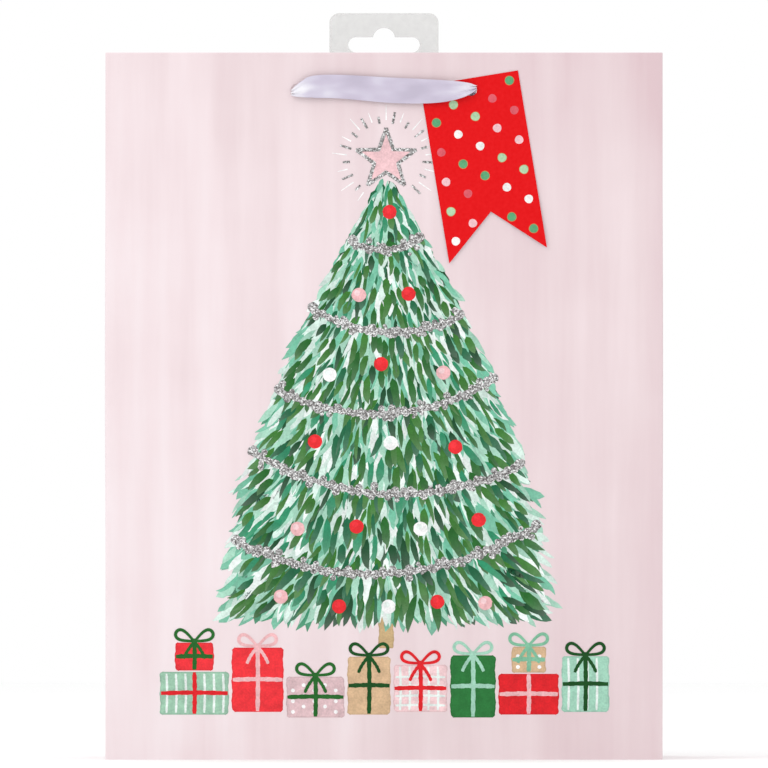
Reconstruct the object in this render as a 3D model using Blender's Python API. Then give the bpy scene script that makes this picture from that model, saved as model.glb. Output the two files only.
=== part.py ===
"""A paper gift bag with ribbon handles, a gift tag, a hang tab and a folding base.

Metres, +Z up. The bag stands open on Z = 0 with its front facing -Y, and the
origin is under the middle of its base.
"""

import math

import bmesh
import bpy
from mathutils import Vector

# Driving sizes of the bag
WIDTH = 0.260
DEPTH = 0.127
HEIGHT = 0.330
PAPER = 0.00025
GAP = 0.00025

# Turned-in top hem and the stiffener cards under it
HEM_DEPTH = 0.040
CARD = 0.0005
CARD_DEPTH = 0.036
CARD_END_GAP = 0.008

# Upright creases of the side gussets
CREASE_OFFSET = 0.0010
DIAGONAL_GAP = 0.0005

# Base
FLAP_OVERLAP = 0.022
DUST_FLAP_TAPER = 0.010
BOARD = 0.0008
BOARD_MARGIN = 0.003
BASE_EDGE_GAP = 0.001
GLUE_FLAP_WIDTH = 0.016

# Fold: side creases turn FOLD_ANGLE while the base turns BASE_ANGLE
FOLD_ANGLE = math.radians(88)
BASE_ANGLE = math.radians(83)
BASE_TUCK = 0.005

# Ribbon handles
RIBBON_WIDTH = 0.0127
HANDLE_HALF_SPAN = 0.0406
HANDLE_HOLE_DROP = 0.0175
HANDLE_HOLE_RADIUS = 0.0030
KNOT_WIDTH = 0.0100
KNOT_HEIGHT = 0.0090
KNOT_THICKNESS = 0.0036

# Gift tag
TAG_WIDTH = 0.0462
TAG_LENGTH = 0.0838
TAG_NOTCH = 0.0208
TAG_THICKNESS = 0.00035
TAG_HOLE_DROP = 0.0055
TAG_HOLE_RADIUS = 0.00275
TAG_TILT = math.radians(9.3)

# Hang tab on the back
TAB_WIDTH = 0.0515
TAB_RISE = 0.0202
TAB_OVERLAP = 0.030
TAB_THICKNESS = 0.0004
TAB_CORNER = 0.0045
TAB_SLOT_WIDTH = 0.0337
TAB_SLOT_HEIGHT = 0.0072
TAB_SLOT_RISE = 0.0016
TAB_BUMP_WIDTH = 0.0104
TAB_BUMP_RISE = 0.0044
ADHESIVE = 0.00015
ADHESIVE_HEIGHT = 0.0260

HALF_WIDTH = WIDTH / 2
HALF_DEPTH = DEPTH / 2
HEM_STACK = GAP + CARD + GAP + PAPER
HOLE_Z = HEIGHT - HANDLE_HOLE_DROP

UPRIGHT = (math.pi / 2, 0, 0)
SIDEWAYS = (math.pi / 2, 0, math.pi / 2)
LEVEL = (0, 0, 0)

# Ribbon route for the left half: share of the half span between the holes, millimetres
# out from the panel's outer face and above the hole, share of the ribbon's width, half
# thickness in millimetres, and the turn of the width from level (0) to upright (90)
RIBBON_ROUTE = (
    (-1.0, -2.7, -134.5, 1.0, 0.20, 0),
    (-1.0, -2.9, -105.0, 1.0, 0.20, 0),
    (-1.0, -2.8, -70.0, 1.0, 0.20, 0),
    (-1.0, -2.8, -35.0, 0.99, 0.22, 0),
    (-1.0, -3.0, -14.0, 0.72, 0.45, 0),
    (-1.0, -3.0, -5.5, 0.35, 0.80, 0),
    (-1.0, -2.1, -1.0, 0.25, 0.95, 0),
    (-1.0, -0.5, 0.0, 0.22, 1.20, 45),
    (-1.0, 1.0, 0.1, 0.22, 1.10, 90),
    (-0.963, 2.3, 0.1, 0.38, 0.80, 90),
    (-0.856, 2.6, 0.2, 0.71, 0.45, 90),
    (-0.648, 2.3, 0.3, 0.98, 0.24, 90),
    (-0.324, 2.0, 0.3, 1.0, 0.20, 90),
    (0.0, 1.9, 0.3, 1.0, 0.20, 90),
)
RIBBON_SIDES = 8
RIBBON_STEPS = 3


def new_finish(name, colour, roughness):
    """A Principled material with one colour and roughness."""
    finish = bpy.data.materials.new(name)
    finish.use_nodes = True
    shader = finish.node_tree.nodes["Principled BSDF"]
    shader.inputs["Base Color"].default_value = (*colour, 1)
    shader.inputs["Roughness"].default_value = roughness
    shader.inputs["Metallic"].default_value = 0
    return finish


def arc(centre, radius, start, end, steps):
    """Points along a circular arc, angles in degrees."""
    turn = [math.radians(start + (end - start) * i / steps) for i in range(steps + 1)]
    return [(centre[0] + radius * math.cos(a), centre[1] + radius * math.sin(a)) for a in turn]


def circle(centre, radius, steps=24):
    """Points round a circle."""
    return arc(centre, radius, 0, 360, steps)[:-1]


def rectangle(left, bottom, right, top):
    """The corners of a rectangle."""
    return [(left, bottom), (right, bottom), (right, top), (left, top)]


def sheet(name, outlines, thickness, facing, location, finish, pivot=None):
    """A flat piece cut to the outlines, centred on its thickness at its location."""
    curve = bpy.data.curves.new(name, "CURVE")
    curve.dimensions = "2D"
    curve.fill_mode = "BOTH"
    curve.extrude = thickness / 2
    for outline in outlines:
        spline = curve.splines.new("POLY")
        spline.points.add(len(outline) - 1)
        for point, (u, v) in zip(spline.points, outline):
            point.co = (u, v, 0, 1)
        spline.use_cyclic_u = True
    piece = bpy.data.objects.new(name, curve)
    piece.rotation_euler = facing
    place(piece, location, finish, pivot)
    return piece


def place(piece, location, finish, pivot=None):
    """Dresses a piece and puts it at its location, on its pivot where it has one."""
    piece.data.materials.append(finish)
    bag.objects.link(piece)
    piece.location = location
    if pivot is not None:
        piece.parent = pivot
        piece.location = Vector(location) - pivot.location


def new_pivot(name, location):
    """An empty on a joint's axis that carries the pieces that turn about it."""
    pivot = bpy.data.objects.new(name, None)
    pivot.location = location
    pivot.empty_display_size = 0.02
    bag.objects.link(pivot)
    return pivot


def loft(name, rings, finish, pivot=None):
    """A closed tube through rings of points, with a flat cap on each end."""
    mesh = bpy.data.meshes.new(name)
    shape = bmesh.new()
    loops = [[shape.verts.new(point) for point in ring] for ring in rings]
    for first, second in zip(loops, loops[1:]):
        for i in range(len(first)):
            j = (i + 1) % len(first)
            shape.faces.new((first[i], first[j], second[j], second[i]))
    shape.faces.new(loops[0])
    shape.faces.new(list(reversed(loops[-1])))
    bmesh.ops.recalc_face_normals(shape, faces=shape.faces)
    shape.to_mesh(mesh)
    shape.free()
    mesh.shade_smooth()
    mesh.set_sharp_from_angle(angle=math.radians(40))
    piece = bpy.data.objects.new(name, mesh)
    place(piece, (0, 0, 0), finish, pivot)
    return piece


def through(points, steps):
    """Values along a smooth curve through every point, any number of values to a point."""
    padded = [points[0], *points, points[-1]]
    result = []
    for a, b, c, d in zip(padded, padded[1:], padded[2:], padded[3:]):
        for step in range(steps):
            t = step / steps
            weights = (
                (-t + 2 * t * t - t**3) / 2,
                (2 - 5 * t * t + 3 * t**3) / 2,
                (t + 4 * t * t - 3 * t**3) / 2,
                (-t * t + t**3) / 2,
            )
            result.append([sum(w * p[i] for w, p in zip(weights, (a, b, c, d))) for i in range(len(b))])
    result.append(list(points[-1]))
    return result


def wall(name, side, pivot=None):
    """The front (side -1) or back (side 1) panel, with its two handle holes."""
    bottom = 0 if side < 0 else HALF_DEPTH + GAP / 2
    holes = [circle((x, HOLE_Z), HANDLE_HOLE_RADIUS) for x in (-HANDLE_HALF_SPAN, HANDLE_HALF_SPAN)]
    outlines = [rectangle(-HALF_WIDTH, bottom, HALF_WIDTH, HEIGHT), *holes]
    where = (0, side * (HALF_DEPTH - PAPER / 2), 0)
    return sheet(name, outlines, PAPER, UPRIGHT, where, paper, pivot)


def hem(name, side):
    """The top edge of a wall turned in and down over its stiffener card."""
    reach = HALF_WIDTH - PAPER - 2 * GAP - PAPER - GAP
    holes = [circle((x, HOLE_Z), HANDLE_HOLE_RADIUS) for x in (-HANDLE_HALF_SPAN, HANDLE_HALF_SPAN)]
    outlines = [rectangle(-reach, HEIGHT - HEM_DEPTH, reach, HEIGHT), *holes]
    where = (0, side * (HALF_DEPTH - PAPER - HEM_STACK + PAPER / 2), 0)
    return sheet(name, outlines, PAPER, UPRIGHT, where, paper)


def stiffener(name, side):
    """The card strip that stops the handle from tearing through the paper."""
    reach = HALF_WIDTH - CARD_END_GAP
    top = HEIGHT - 2 * GAP
    holes = [circle((x, HOLE_Z), HANDLE_HOLE_RADIUS) for x in (-HANDLE_HALF_SPAN, HANDLE_HALF_SPAN)]
    outlines = [rectangle(-reach, top - CARD_DEPTH, reach, top), *holes]
    where = (0, side * (HALF_DEPTH - PAPER - GAP - CARD / 2), 0)
    return sheet(name, outlines, CARD, UPRIGHT, where, card)


def gusset(word, side):
    """One side of the bag: two halves with their hems above a lower web that folds."""
    out = side * (HALF_WIDTH - PAPER / 2)
    hem_out = side * (HALF_WIDTH - PAPER - GAP - PAPER / 2)
    corner = -HALF_DEPTH + PAPER + GAP
    middle = GAP / 2
    rise = HALF_DEPTH + corner + DIAGONAL_GAP
    crown = HALF_DEPTH - middle + DIAGONAL_GAP
    front = [(corner, rise), (-middle, crown), (-middle, HEIGHT), (corner, HEIGHT)]
    front_pivot = new_pivot(f"{word}_front_crease", (side * CREASE_X, -CREASE_Y, 0))
    sheet(f"{word}_gusset_front", [front], PAPER, SIDEWAYS, (out, 0, 0), paper, front_pivot)
    rear = rectangle(middle, HALF_DEPTH + GAP / 2, -corner, HEIGHT)
    rear_pivot = new_pivot(f"{word}_middle_crease", (side * MIDDLE_X, 0, 0))
    sheet(f"{word}_gusset_rear", [rear], PAPER, SIDEWAYS, (out, 0, 0), paper, rear_pivot)
    inset = HALF_DEPTH - PAPER - HEM_STACK - GAP
    front_hem = rectangle(-inset, HEIGHT - HEM_DEPTH, -middle, HEIGHT)
    sheet(f"{word}_hem_front", [front_hem], PAPER, SIDEWAYS, (hem_out, 0, 0), paper, front_pivot)
    rear_hem = rectangle(middle, HEIGHT - HEM_DEPTH, inset, HEIGHT)
    sheet(f"{word}_hem_rear", [rear_hem], PAPER, SIDEWAYS, (hem_out, 0, 0), paper, rear_pivot)
    top = HALF_DEPTH - GAP / 2
    lower = [(corner, GAP), (-corner, GAP), (-corner, top), (0, top), (corner, HALF_DEPTH + corner)]
    sheet(f"{word}_gusset_lower", [lower], PAPER, SIDEWAYS, (out, 0, 0), paper, base_pivot)


def base():
    """The glued bottom flaps in layers, with a loose-cut board laid over them."""
    reach = HALF_DEPTH - PAPER - GAP
    side = HALF_WIDTH - PAPER - GAP
    layer = PAPER + GAP
    rear_flap = rectangle(-side, -FLAP_OVERLAP / 2, side, reach)
    sheet("bottom_rear_flap", [rear_flap], PAPER, LEVEL, (0, 0, PAPER / 2), paper, base_pivot)
    front_flap = rectangle(-side, -reach, side, FLAP_OVERLAP / 2)
    sheet("bottom_front_flap", [front_flap], PAPER, LEVEL, (0, 0, PAPER / 2 + layer), paper, base_pivot)
    inner = reach - BASE_EDGE_GAP
    tip = side - HALF_DEPTH
    for word, way in (("left", -1), ("right", 1)):
        flap = [
            (way * side, -inner),
            (way * tip, -inner + DUST_FLAP_TAPER),
            (way * tip, inner - DUST_FLAP_TAPER),
            (way * side, inner),
        ]
        sheet(f"{word}_dust_flap", [flap], PAPER, LEVEL, (0, 0, PAPER / 2 + 2 * layer), lining, base_pivot)
    board_x = HALF_WIDTH - BOARD_MARGIN
    board_y = HALF_DEPTH - BOARD_MARGIN
    board = rectangle(-board_x, -board_y, board_x, board_y)
    sheet("base_board", [board], BOARD, LEVEL, (0, 0, 3 * layer + BOARD / 2), card, base_pivot)


def back_lower():
    """The strip of the back wall below its level crease, which folds with the base."""
    strip = rectangle(-HALF_WIDTH, GAP, HALF_WIDTH, HALF_DEPTH - GAP / 2)
    where = (0, HALF_DEPTH - PAPER / 2, 0)
    sheet("back_panel_lower", [strip], PAPER, UPRIGHT, where, paper, base_pivot)


def glue_flap():
    """The side seam's flap, glued inside the back panel at its left corner."""
    start = -HALF_WIDTH + 2 * PAPER + 3 * GAP
    top = HEIGHT - HEM_DEPTH - 2 * GAP
    flap = rectangle(start, HALF_DEPTH + GAP, start + GLUE_FLAP_WIDTH, top)
    where = (0, HALF_DEPTH - PAPER - GAP - PAPER / 2, 0)
    sheet("side_glue_flap", [flap], PAPER, UPRIGHT, where, lining)


def ribbon_route(side):
    """The whole route of one handle: both halves as centre, sizes and width direction."""
    left = [list(point) for point in RIBBON_ROUTE]
    right = [[-p[0], p[1], p[2], p[3], p[4], 180 - p[5]] for p in reversed(left[:-1])]
    stations = []
    for share, out, rise, width, thickness, turn in through(left + right, RIBBON_STEPS):
        x = share * HANDLE_HALF_SPAN
        centre = Vector((x, side * (HALF_DEPTH + out / 1000), HOLE_Z + rise / 1000))
        angle = math.radians(turn)
        across = Vector((math.cos(angle), 0, math.sin(angle)))
        stations.append((centre, width * RIBBON_WIDTH / 2, thickness / 1000, across))
    return stations


def handle(word, side):
    """One ribbon: a tail inside, out through a hole, across, and back in to a tail."""
    stations = ribbon_route(side)
    rings = []
    for i, (centre, width, thickness, across) in enumerate(stations):
        before = stations[max(i - 1, 0)][0]
        after = stations[min(i + 1, len(stations) - 1)][0]
        along = (after - before).normalized()
        across = (across - along * across.dot(along)).normalized()
        normal = along.cross(across)
        turns = [2 * math.pi * k / RIBBON_SIDES for k in range(RIBBON_SIDES)]
        rings.append([centre + across * width * math.cos(a) + normal * thickness * math.sin(a) for a in turns])
    loft(f"{word}_handle_ribbon", rings, satin)
    for name, end in (("left", stations[0][0]), ("right", stations[-1][0])):
        knot(f"{word}_{name}_knot", end)


def knot(name, end):
    """The flattened knot just below a ribbon's tail end."""
    shape = bmesh.new()
    bmesh.ops.create_uvsphere(shape, u_segments=16, v_segments=10, radius=0.5)
    bmesh.ops.scale(shape, vec=(KNOT_WIDTH, KNOT_THICKNESS, KNOT_HEIGHT), verts=shape.verts)
    mesh = bpy.data.meshes.new(name)
    shape.to_mesh(mesh)
    shape.free()
    mesh.shade_smooth()
    piece = bpy.data.objects.new(name, mesh)
    place(piece, end - Vector((0, 0, KNOT_HEIGHT / 2 + GAP)), satin)


def tag():
    """The swallow-tailed card tag, hung by its hole on the front handle's right side."""
    half = TAG_WIDTH / 2
    bottom = TAG_HOLE_DROP - TAG_LENGTH
    outline = [
        (-half, TAG_HOLE_DROP),
        (half, TAG_HOLE_DROP),
        (half, bottom),
        (0, bottom + TAG_NOTCH),
        (-half, bottom),
    ]
    out = HALF_DEPTH + GAP + TAG_THICKNESS / 2
    where = (HANDLE_HALF_SPAN, -out, HOLE_Z)
    hole = circle((0, 0), TAG_HOLE_RADIUS)
    piece = sheet("gift_tag", [outline, hole], TAG_THICKNESS, UPRIGHT, where, tag_card)
    piece.rotation_euler = (math.pi / 2, -TAG_TILT, 0)


def tab_slot():
    """The hang slot's outline: round ends, with a round-topped bump in the middle."""
    radius = TAB_SLOT_HEIGHT / 2
    middle = HEIGHT + TAB_SLOT_RISE + radius
    reach = TAB_SLOT_WIDTH / 2 - radius
    bump = TAB_BUMP_WIDTH / 2
    shoulder = middle + radius
    bump_radius = (bump**2 + TAB_BUMP_RISE**2) / (2 * TAB_BUMP_RISE)
    spread = math.degrees(math.asin(bump / bump_radius))
    top_centre = (0, shoulder + TAB_BUMP_RISE - bump_radius)
    right = arc((reach, middle), radius, -90, 90, 10)
    crown = arc(top_centre, bump_radius, 90 - spread, 90 + spread, 10)
    left = arc((-reach, middle), radius, 90, 270, 10)
    return right + crown + left


def hang_tab():
    """The clear hang tab stuck to the top of the back, with its adhesive patch."""
    half = TAB_WIDTH / 2
    top = HEIGHT + TAB_RISE
    bottom = HEIGHT - TAB_OVERLAP
    inner = half - TAB_CORNER
    outline = (
        arc((inner, bottom + TAB_CORNER), TAB_CORNER, -90, 0, 6)
        + arc((inner, top - TAB_CORNER), TAB_CORNER, 0, 90, 6)
        + arc((-inner, top - TAB_CORNER), TAB_CORNER, 90, 180, 6)
        + arc((-inner, bottom + TAB_CORNER), TAB_CORNER, 180, 270, 6)
    )
    out = HALF_DEPTH + 2 * GAP + ADHESIVE + TAB_THICKNESS / 2
    sheet("hang_tab", [outline, tab_slot()], TAB_THICKNESS, UPRIGHT, (0, out, 0), clear_film)
    low = bottom + GAP
    patch = rectangle(-half + TAB_CORNER, low, half - TAB_CORNER, low + ADHESIVE_HEIGHT)
    out = HALF_DEPTH + GAP + ADHESIVE / 2
    sheet("hang_tab_adhesive", [patch], ADHESIVE, UPRIGHT, (0, out, 0), adhesive)


for old in list(bpy.data.objects):
    bpy.data.objects.remove(old, do_unlink=True)

bag = bpy.data.collections.new("gift_bag")
bpy.context.scene.collection.children.link(bag)

paper = new_finish("printed_paper", (0.86, 0.76, 0.78), 0.55)
lining = new_finish("white_paper", (0.90, 0.89, 0.88), 0.65)
card = new_finish("grey_card", (0.62, 0.58, 0.52), 0.85)
satin = new_finish("satin_ribbon", (0.72, 0.69, 0.80), 0.35)
tag_card = new_finish("red_card", (0.80, 0.01, 0.01), 0.45)
clear_film = new_finish("clear_film", (0.80, 0.80, 0.79), 0.25)
adhesive = new_finish("clear_adhesive", (0.75, 0.75, 0.72), 0.40)

# The front and back creases stand inside their corners, clear of the hems, and the
# middle crease stands just outside the paper
CREASE_X = HALF_WIDTH - PAPER - CREASE_OFFSET
CREASE_Y = HALF_DEPTH - PAPER - CREASE_OFFSET
MIDDLE_X = HALF_WIDTH + GAP / 2

# Folded, the outer faces of the front and back lie FOLDED_DEPTH apart. The base turns
# about the one point that takes its front edge to BASE_TUCK behind the front panel.
LINK_X = MIDDLE_X - CREASE_X
SPREAD = CREASE_Y * math.cos(FOLD_ANGLE) + LINK_X * math.sin(FOLD_ANGLE)
FOLDED_DEPTH = 2 * (SPREAD + CREASE_OFFSET + PAPER)
TUCKED_EDGE = BASE_TUCK - FOLDED_DEPTH
HALF_TRAVEL = (DEPTH + TUCKED_EDGE) / 2
BASE_POLE_Y = HALF_DEPTH - DEPTH + HALF_TRAVEL
BASE_POLE_Z = HALF_TRAVEL / math.tan(BASE_ANGLE / 2)
base_pivot = new_pivot("base_fold_axis", (0, BASE_POLE_Y, BASE_POLE_Z))

wall("front_panel", -1)
wall("back_panel", 1)
hem("front_top_hem", -1)
hem("back_top_hem", 1)
stiffener("front_stiffener_card", -1)
stiffener("back_stiffener_card", 1)
gusset("left", -1)
gusset("right", 1)
back_lower()
base()
glue_flap()
handle("front", -1)
handle("back", 1)
tag()
hang_tab()
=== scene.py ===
"""Dresses the paper gift bag: printed walls, painted tree and parcels, satin handles, tag and tab."""

from __future__ import annotations

import logging
import math
from collections.abc import Callable
from dataclasses import dataclass, field
from enum import Enum

import bmesh
import bpy
import numpy as np
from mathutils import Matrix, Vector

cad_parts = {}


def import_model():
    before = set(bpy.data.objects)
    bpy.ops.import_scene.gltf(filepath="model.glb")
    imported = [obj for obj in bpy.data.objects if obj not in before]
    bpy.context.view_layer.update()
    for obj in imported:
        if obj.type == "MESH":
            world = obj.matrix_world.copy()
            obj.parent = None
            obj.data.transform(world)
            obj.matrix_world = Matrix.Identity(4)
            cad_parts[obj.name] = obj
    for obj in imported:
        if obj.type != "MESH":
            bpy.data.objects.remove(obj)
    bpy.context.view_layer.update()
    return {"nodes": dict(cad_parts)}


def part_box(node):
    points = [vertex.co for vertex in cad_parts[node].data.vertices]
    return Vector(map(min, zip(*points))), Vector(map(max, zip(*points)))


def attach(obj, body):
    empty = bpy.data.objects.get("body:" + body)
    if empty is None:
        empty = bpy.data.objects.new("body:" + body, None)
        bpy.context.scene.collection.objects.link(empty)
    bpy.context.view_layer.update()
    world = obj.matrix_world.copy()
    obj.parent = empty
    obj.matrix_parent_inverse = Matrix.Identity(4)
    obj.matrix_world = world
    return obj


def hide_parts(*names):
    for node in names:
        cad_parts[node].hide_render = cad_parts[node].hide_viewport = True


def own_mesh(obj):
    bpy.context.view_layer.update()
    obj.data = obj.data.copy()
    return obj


LOG = logging.getLogger("gift_bag")
MM = 0.001
TAU = 2 * math.pi
FRONT = -1
BACK = 1
REFLECTANCE = 0.84


# Finishes ---------------------------------------------------------------------------------


def linear(code: str) -> np.ndarray:
    """Turns an sRGB hex colour, as seen beside white paper, into a linear reflectance.

    Args:
        code: a colour such as "#F0DEE2".

    Returns:
        Red, green and blue from 0 to the reflectance of white paper.
    """
    value = np.array([int(code[i : i + 2], 16) for i in (1, 3, 5)]) / 255
    return REFLECTANCE * np.where(value <= 0.04045, value / 12.92, ((value + 0.055) / 1.055) ** 2.4)


def add(
    tree: bpy.types.NodeTree,
    kind: str,
    links: dict | None = None,
    values: dict | None = None,
    stops: tuple[tuple[float, str], ...] = (),
    **settings: object,
) -> bpy.types.Node:
    """Adds a shader node with its settings, socket values, ramp stops and links.

    Args:
        tree: the material's node tree.
        kind: the node's type name after ShaderNode.
        links: socket name or index to the output that feeds it.
        values: socket name or index to its constant.
        stops: place and colour of each stop on a colour ramp.
        settings: attributes of the node itself.

    Returns:
        The new node.
    """
    node = tree.nodes.new(f"ShaderNode{kind}")
    for name, value in settings.items():
        setattr(node, name, value)
    for name, value in (values or {}).items():
        node.inputs[name].default_value = value
    for name, output in (links or {}).items():
        tree.links.new(output, node.inputs[name])
    for i, (place, code) in enumerate(stops):
        elements = node.color_ramp.elements
        stop = elements[i] if i < len(elements) else elements.new(place)
        stop.position = place
        stop.color = (*linear(code), 1)
    return node


Tree = bpy.types.NodeTree
Socket = bpy.types.NodeSocket


def noise(tree: Tree, place: Socket, scale: float, detail: float) -> Socket:
    """A noise texture's value, at a scale and with a number of finer octaves."""
    return add(tree, "TexNoise", {"Vector": place}, {"Scale": scale, "Detail": detail}).outputs["Fac"]


def span(tree: Tree, value: Socket, old: tuple, new: tuple) -> Socket:
    """Maps a value from one range to another, and holds it there."""
    ends = {"From Min": old[0], "From Max": old[1], "To Min": new[0], "To Max": new[1]}
    return add(tree, "MapRange", {"Value": value}, ends).outputs[0]


def join(tree: Tree, one: Socket, two: Socket) -> Socket:
    """The sum of two values."""
    return add(tree, "Math", {0: one, 1: two}, operation="ADD").outputs[0]


def scaled(tree: Tree, value: Socket, factor: float) -> Socket:
    """A value times a constant."""
    return add(tree, "Math", {0: value}, {1: factor}, operation="MULTIPLY").outputs[0]


def colour_by(tree: Tree, shader: bpy.types.Node, value: Socket, *stops: tuple) -> None:
    """Colours a shader by a value, through the stops of a ramp."""
    tone = add(tree, "ValToRGB", {"Fac": value}, stops=stops)
    tree.links.new(tone.outputs["Color"], shader.inputs["Base Color"])


def relieve(tree: Tree, shader: bpy.types.Node, height: Socket, strength: float, depth: float) -> None:
    """Raises a shader's surface by a value, up to a depth in metres."""
    relief = add(tree, "Bump", {"Height": height}, {"Strength": strength, "Distance": depth})
    tree.links.new(relief.outputs["Normal"], shader.inputs["Normal"])


@dataclass(frozen=True)
class Finish:
    """One material: its name and the constants of its Principled shader."""

    name: str
    colour: str = "#FFFFFF"
    roughness: float = 0.5
    shine: float = 0.3

    def build(self) -> bpy.types.Material:
        """Makes the material and dresses its node tree."""
        material = bpy.data.materials.new(self.name)
        material.use_nodes = True
        tree = material.node_tree
        shader = tree.nodes["Principled BSDF"]
        shader.inputs["Base Color"].default_value = (*linear(self.colour), 1)
        shader.inputs["Roughness"].default_value = self.roughness
        shader.inputs["Specular IOR Level"].default_value = self.shine
        self.dress(tree, shader)
        return material

    def dress(self, tree: Tree, shader: bpy.types.Node) -> None:
        """Adds this finish's own nodes."""


@dataclass(frozen=True)
class PrintedPaper(Finish):
    """Coated art paper, offset printed with a pale pink wash: soft upright streaks and a faint fibre."""

    name: str = "pink_printed_art_paper"
    roughness: float = 0.5
    shine: float = 0.16
    streak_mm: float = 15.0
    patch_mm: float = 70.0
    fibre_mm: float = 0.5

    def dress(self, tree: Tree, shader: bpy.types.Node) -> None:
        """The wash is darker towards +X, in streaks that run up the sheet, with blotches over them."""
        place = add(tree, "TexCoord").outputs["Object"]
        long_streak = (1000 / self.streak_mm, 1000 / self.streak_mm, 1000 / (14 * self.streak_mm))
        stretch = add(tree, "Mapping", {"Vector": place}, {"Scale": long_streak})
        grain = {"Scale": 1.0, "Detail": 4.0, "Roughness": 0.55}
        streaks = add(tree, "TexNoise", {"Vector": stretch.outputs["Vector"]}, grain).outputs["Fac"]
        patches = noise(tree, place, 1000 / self.patch_mm, 3.0)
        axes = add(tree, "SeparateXYZ", {"Vector": place})
        drift = span(tree, axes.outputs["X"], (-0.13, 0.13), (-0.15, 0.17))
        rise = span(tree, axes.outputs["Z"], (0.26, 0.33), (0.0, 0.16))
        wash = join(tree, scaled(tree, streaks, 0.62), scaled(tree, patches, 0.42))
        total = join(tree, join(tree, wash, drift), rise)
        pale = ((0.26, "#F9ECEF"), (0.44, "#F4E3E6"))
        deep = ((0.60, "#EDDADD"), (0.78, "#E7D1D5"), (0.94, "#E1C7CC"))
        colour_by(tree, shader, total, *pale, *deep)
        relieve(tree, shader, noise(tree, place, 1000 / self.fibre_mm, 2.0), 0.12, 0.00004)


@dataclass(frozen=True)
class BarePaper(Finish):
    """The sheet's uncoated back: white, matt, with a cloudy formation and short fibres."""

    name: str = "uncoated_paper_back"
    colour: str = "#F6F4F1"
    roughness: float = 0.72
    cloud_mm: float = 9.0
    fibre_mm: float = 0.6

    def dress(self, tree: Tree, shader: bpy.types.Node) -> None:
        """Faint clouds in the tone and a fine tooth in the relief."""
        place = add(tree, "TexCoord").outputs["Object"]
        cloud = noise(tree, place, 1000 / self.cloud_mm, 5.0)
        colour_by(tree, shader, cloud, (0.3, "#FBF9F6"), (0.7, "#FFFFFF"))
        relieve(tree, shader, noise(tree, place, 1000 / self.fibre_mm, 3.0), 0.25, 0.00006)


@dataclass(frozen=True)
class GreyBoard(Finish):
    """Recycled grey board, rolled from pulp: warm grey with darker and paler flecks."""

    name: str = "recycled_grey_board"
    colour: str = "#C8C1B6"
    roughness: float = 0.85
    fleck_mm: float = 1.1

    def dress(self, tree: Tree, shader: bpy.types.Node) -> None:
        """Flecks a millimetre long over a mottled grey."""
        place = add(tree, "TexCoord").outputs["Object"]
        fleck = noise(tree, place, 1000 / self.fleck_mm, 6.0)
        stops = ((0.30, "#B3ABA0"), (0.45, "#CFC8BD"), (0.62, "#DAD4CA"), (0.78, "#EAE6DF"))
        colour_by(tree, shader, fleck, *stops)
        relieve(tree, shader, fleck, 0.3, 0.0001)


@dataclass(frozen=True)
class WaterInk(Finish):
    """Printed watercolour: each shape's own colour, mottled where pigment pooled on the paper."""

    name: str = "watercolour_ink"
    roughness: float = 0.5
    shine: float = 0.14
    pool_mm: float = 4.5
    grain_mm: float = 0.9

    def dress(self, tree: Tree, shader: bpy.types.Node) -> None:
        """The shape's colour is multiplied by pooled and granular variations in tone."""
        place = add(tree, "TexCoord").outputs["Object"]
        ink = add(tree, "Attribute", attribute_name="ink")
        pool = noise(tree, place, 1000 / self.pool_mm, 3.0)
        grain = noise(tree, place, 1000 / self.grain_mm, 2.0)
        both = add(tree, "Mix", {2: pool, 3: grain}, {0: 0.45}, data_type="FLOAT")
        tone = span(tree, both.outputs[0], (0.3, 0.7), (0.76, 1.20))
        mottled = add(tree, "VectorMath", {0: ink.outputs["Color"], "Scale": tone}, operation="SCALE")
        tree.links.new(mottled.outputs["Vector"], shader.inputs["Base Color"])


@dataclass(frozen=True)
class Glitter(Finish):
    """Silver glitter in clear glue: flakes that each face their own way, drawn 0.55 mm wide to show."""

    name: str = "silver_glitter"
    roughness: float = 0.28
    flake_mm: float = 0.55

    def dress(self, tree: Tree, shader: bpy.types.Node) -> None:
        """Every cell has its own tilt, and its own grey from dark to white: glints and dull flakes painted
        into the colour.
        """
        place = add(tree, "TexCoord").outputs["Object"]
        flakes = add(tree, "TexVoronoi", {"Vector": place}, {"Scale": 1000 / self.flake_mm})
        axes = add(tree, "SeparateXYZ", {"Vector": flakes.outputs["Color"]})
        # painted glints: each flake's grey, up to white, stands in for how brightly it reflects
        stops = ((0.0, "#4C4848"), (0.25, "#7D7A78"), (0.50, "#A2A1A1"), (0.75, "#C6C6C6"), (0.92, "#FFFFFF"))
        colour_by(tree, shader, axes.outputs["X"], *stops)
        shader.inputs["Metallic"].default_value = 0.2
        centred = add(
            tree, "VectorMath", {0: flakes.outputs["Color"]}, {1: (0.5, 0.5, 0.5)}, operation="SUBTRACT"
        )
        tilt = add(tree, "VectorMath", {0: centred.outputs[0]}, {"Scale": 0.6}, operation="SCALE")
        face = add(tree, "NewGeometry").outputs["Normal"]
        turned = add(tree, "VectorMath", {0: face, 1: tilt.outputs[0]}, operation="ADD")
        facet = add(tree, "VectorMath", {0: turned.outputs[0]}, operation="NORMALIZE")
        tree.links.new(facet.outputs[0], shader.inputs["Normal"])


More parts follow.
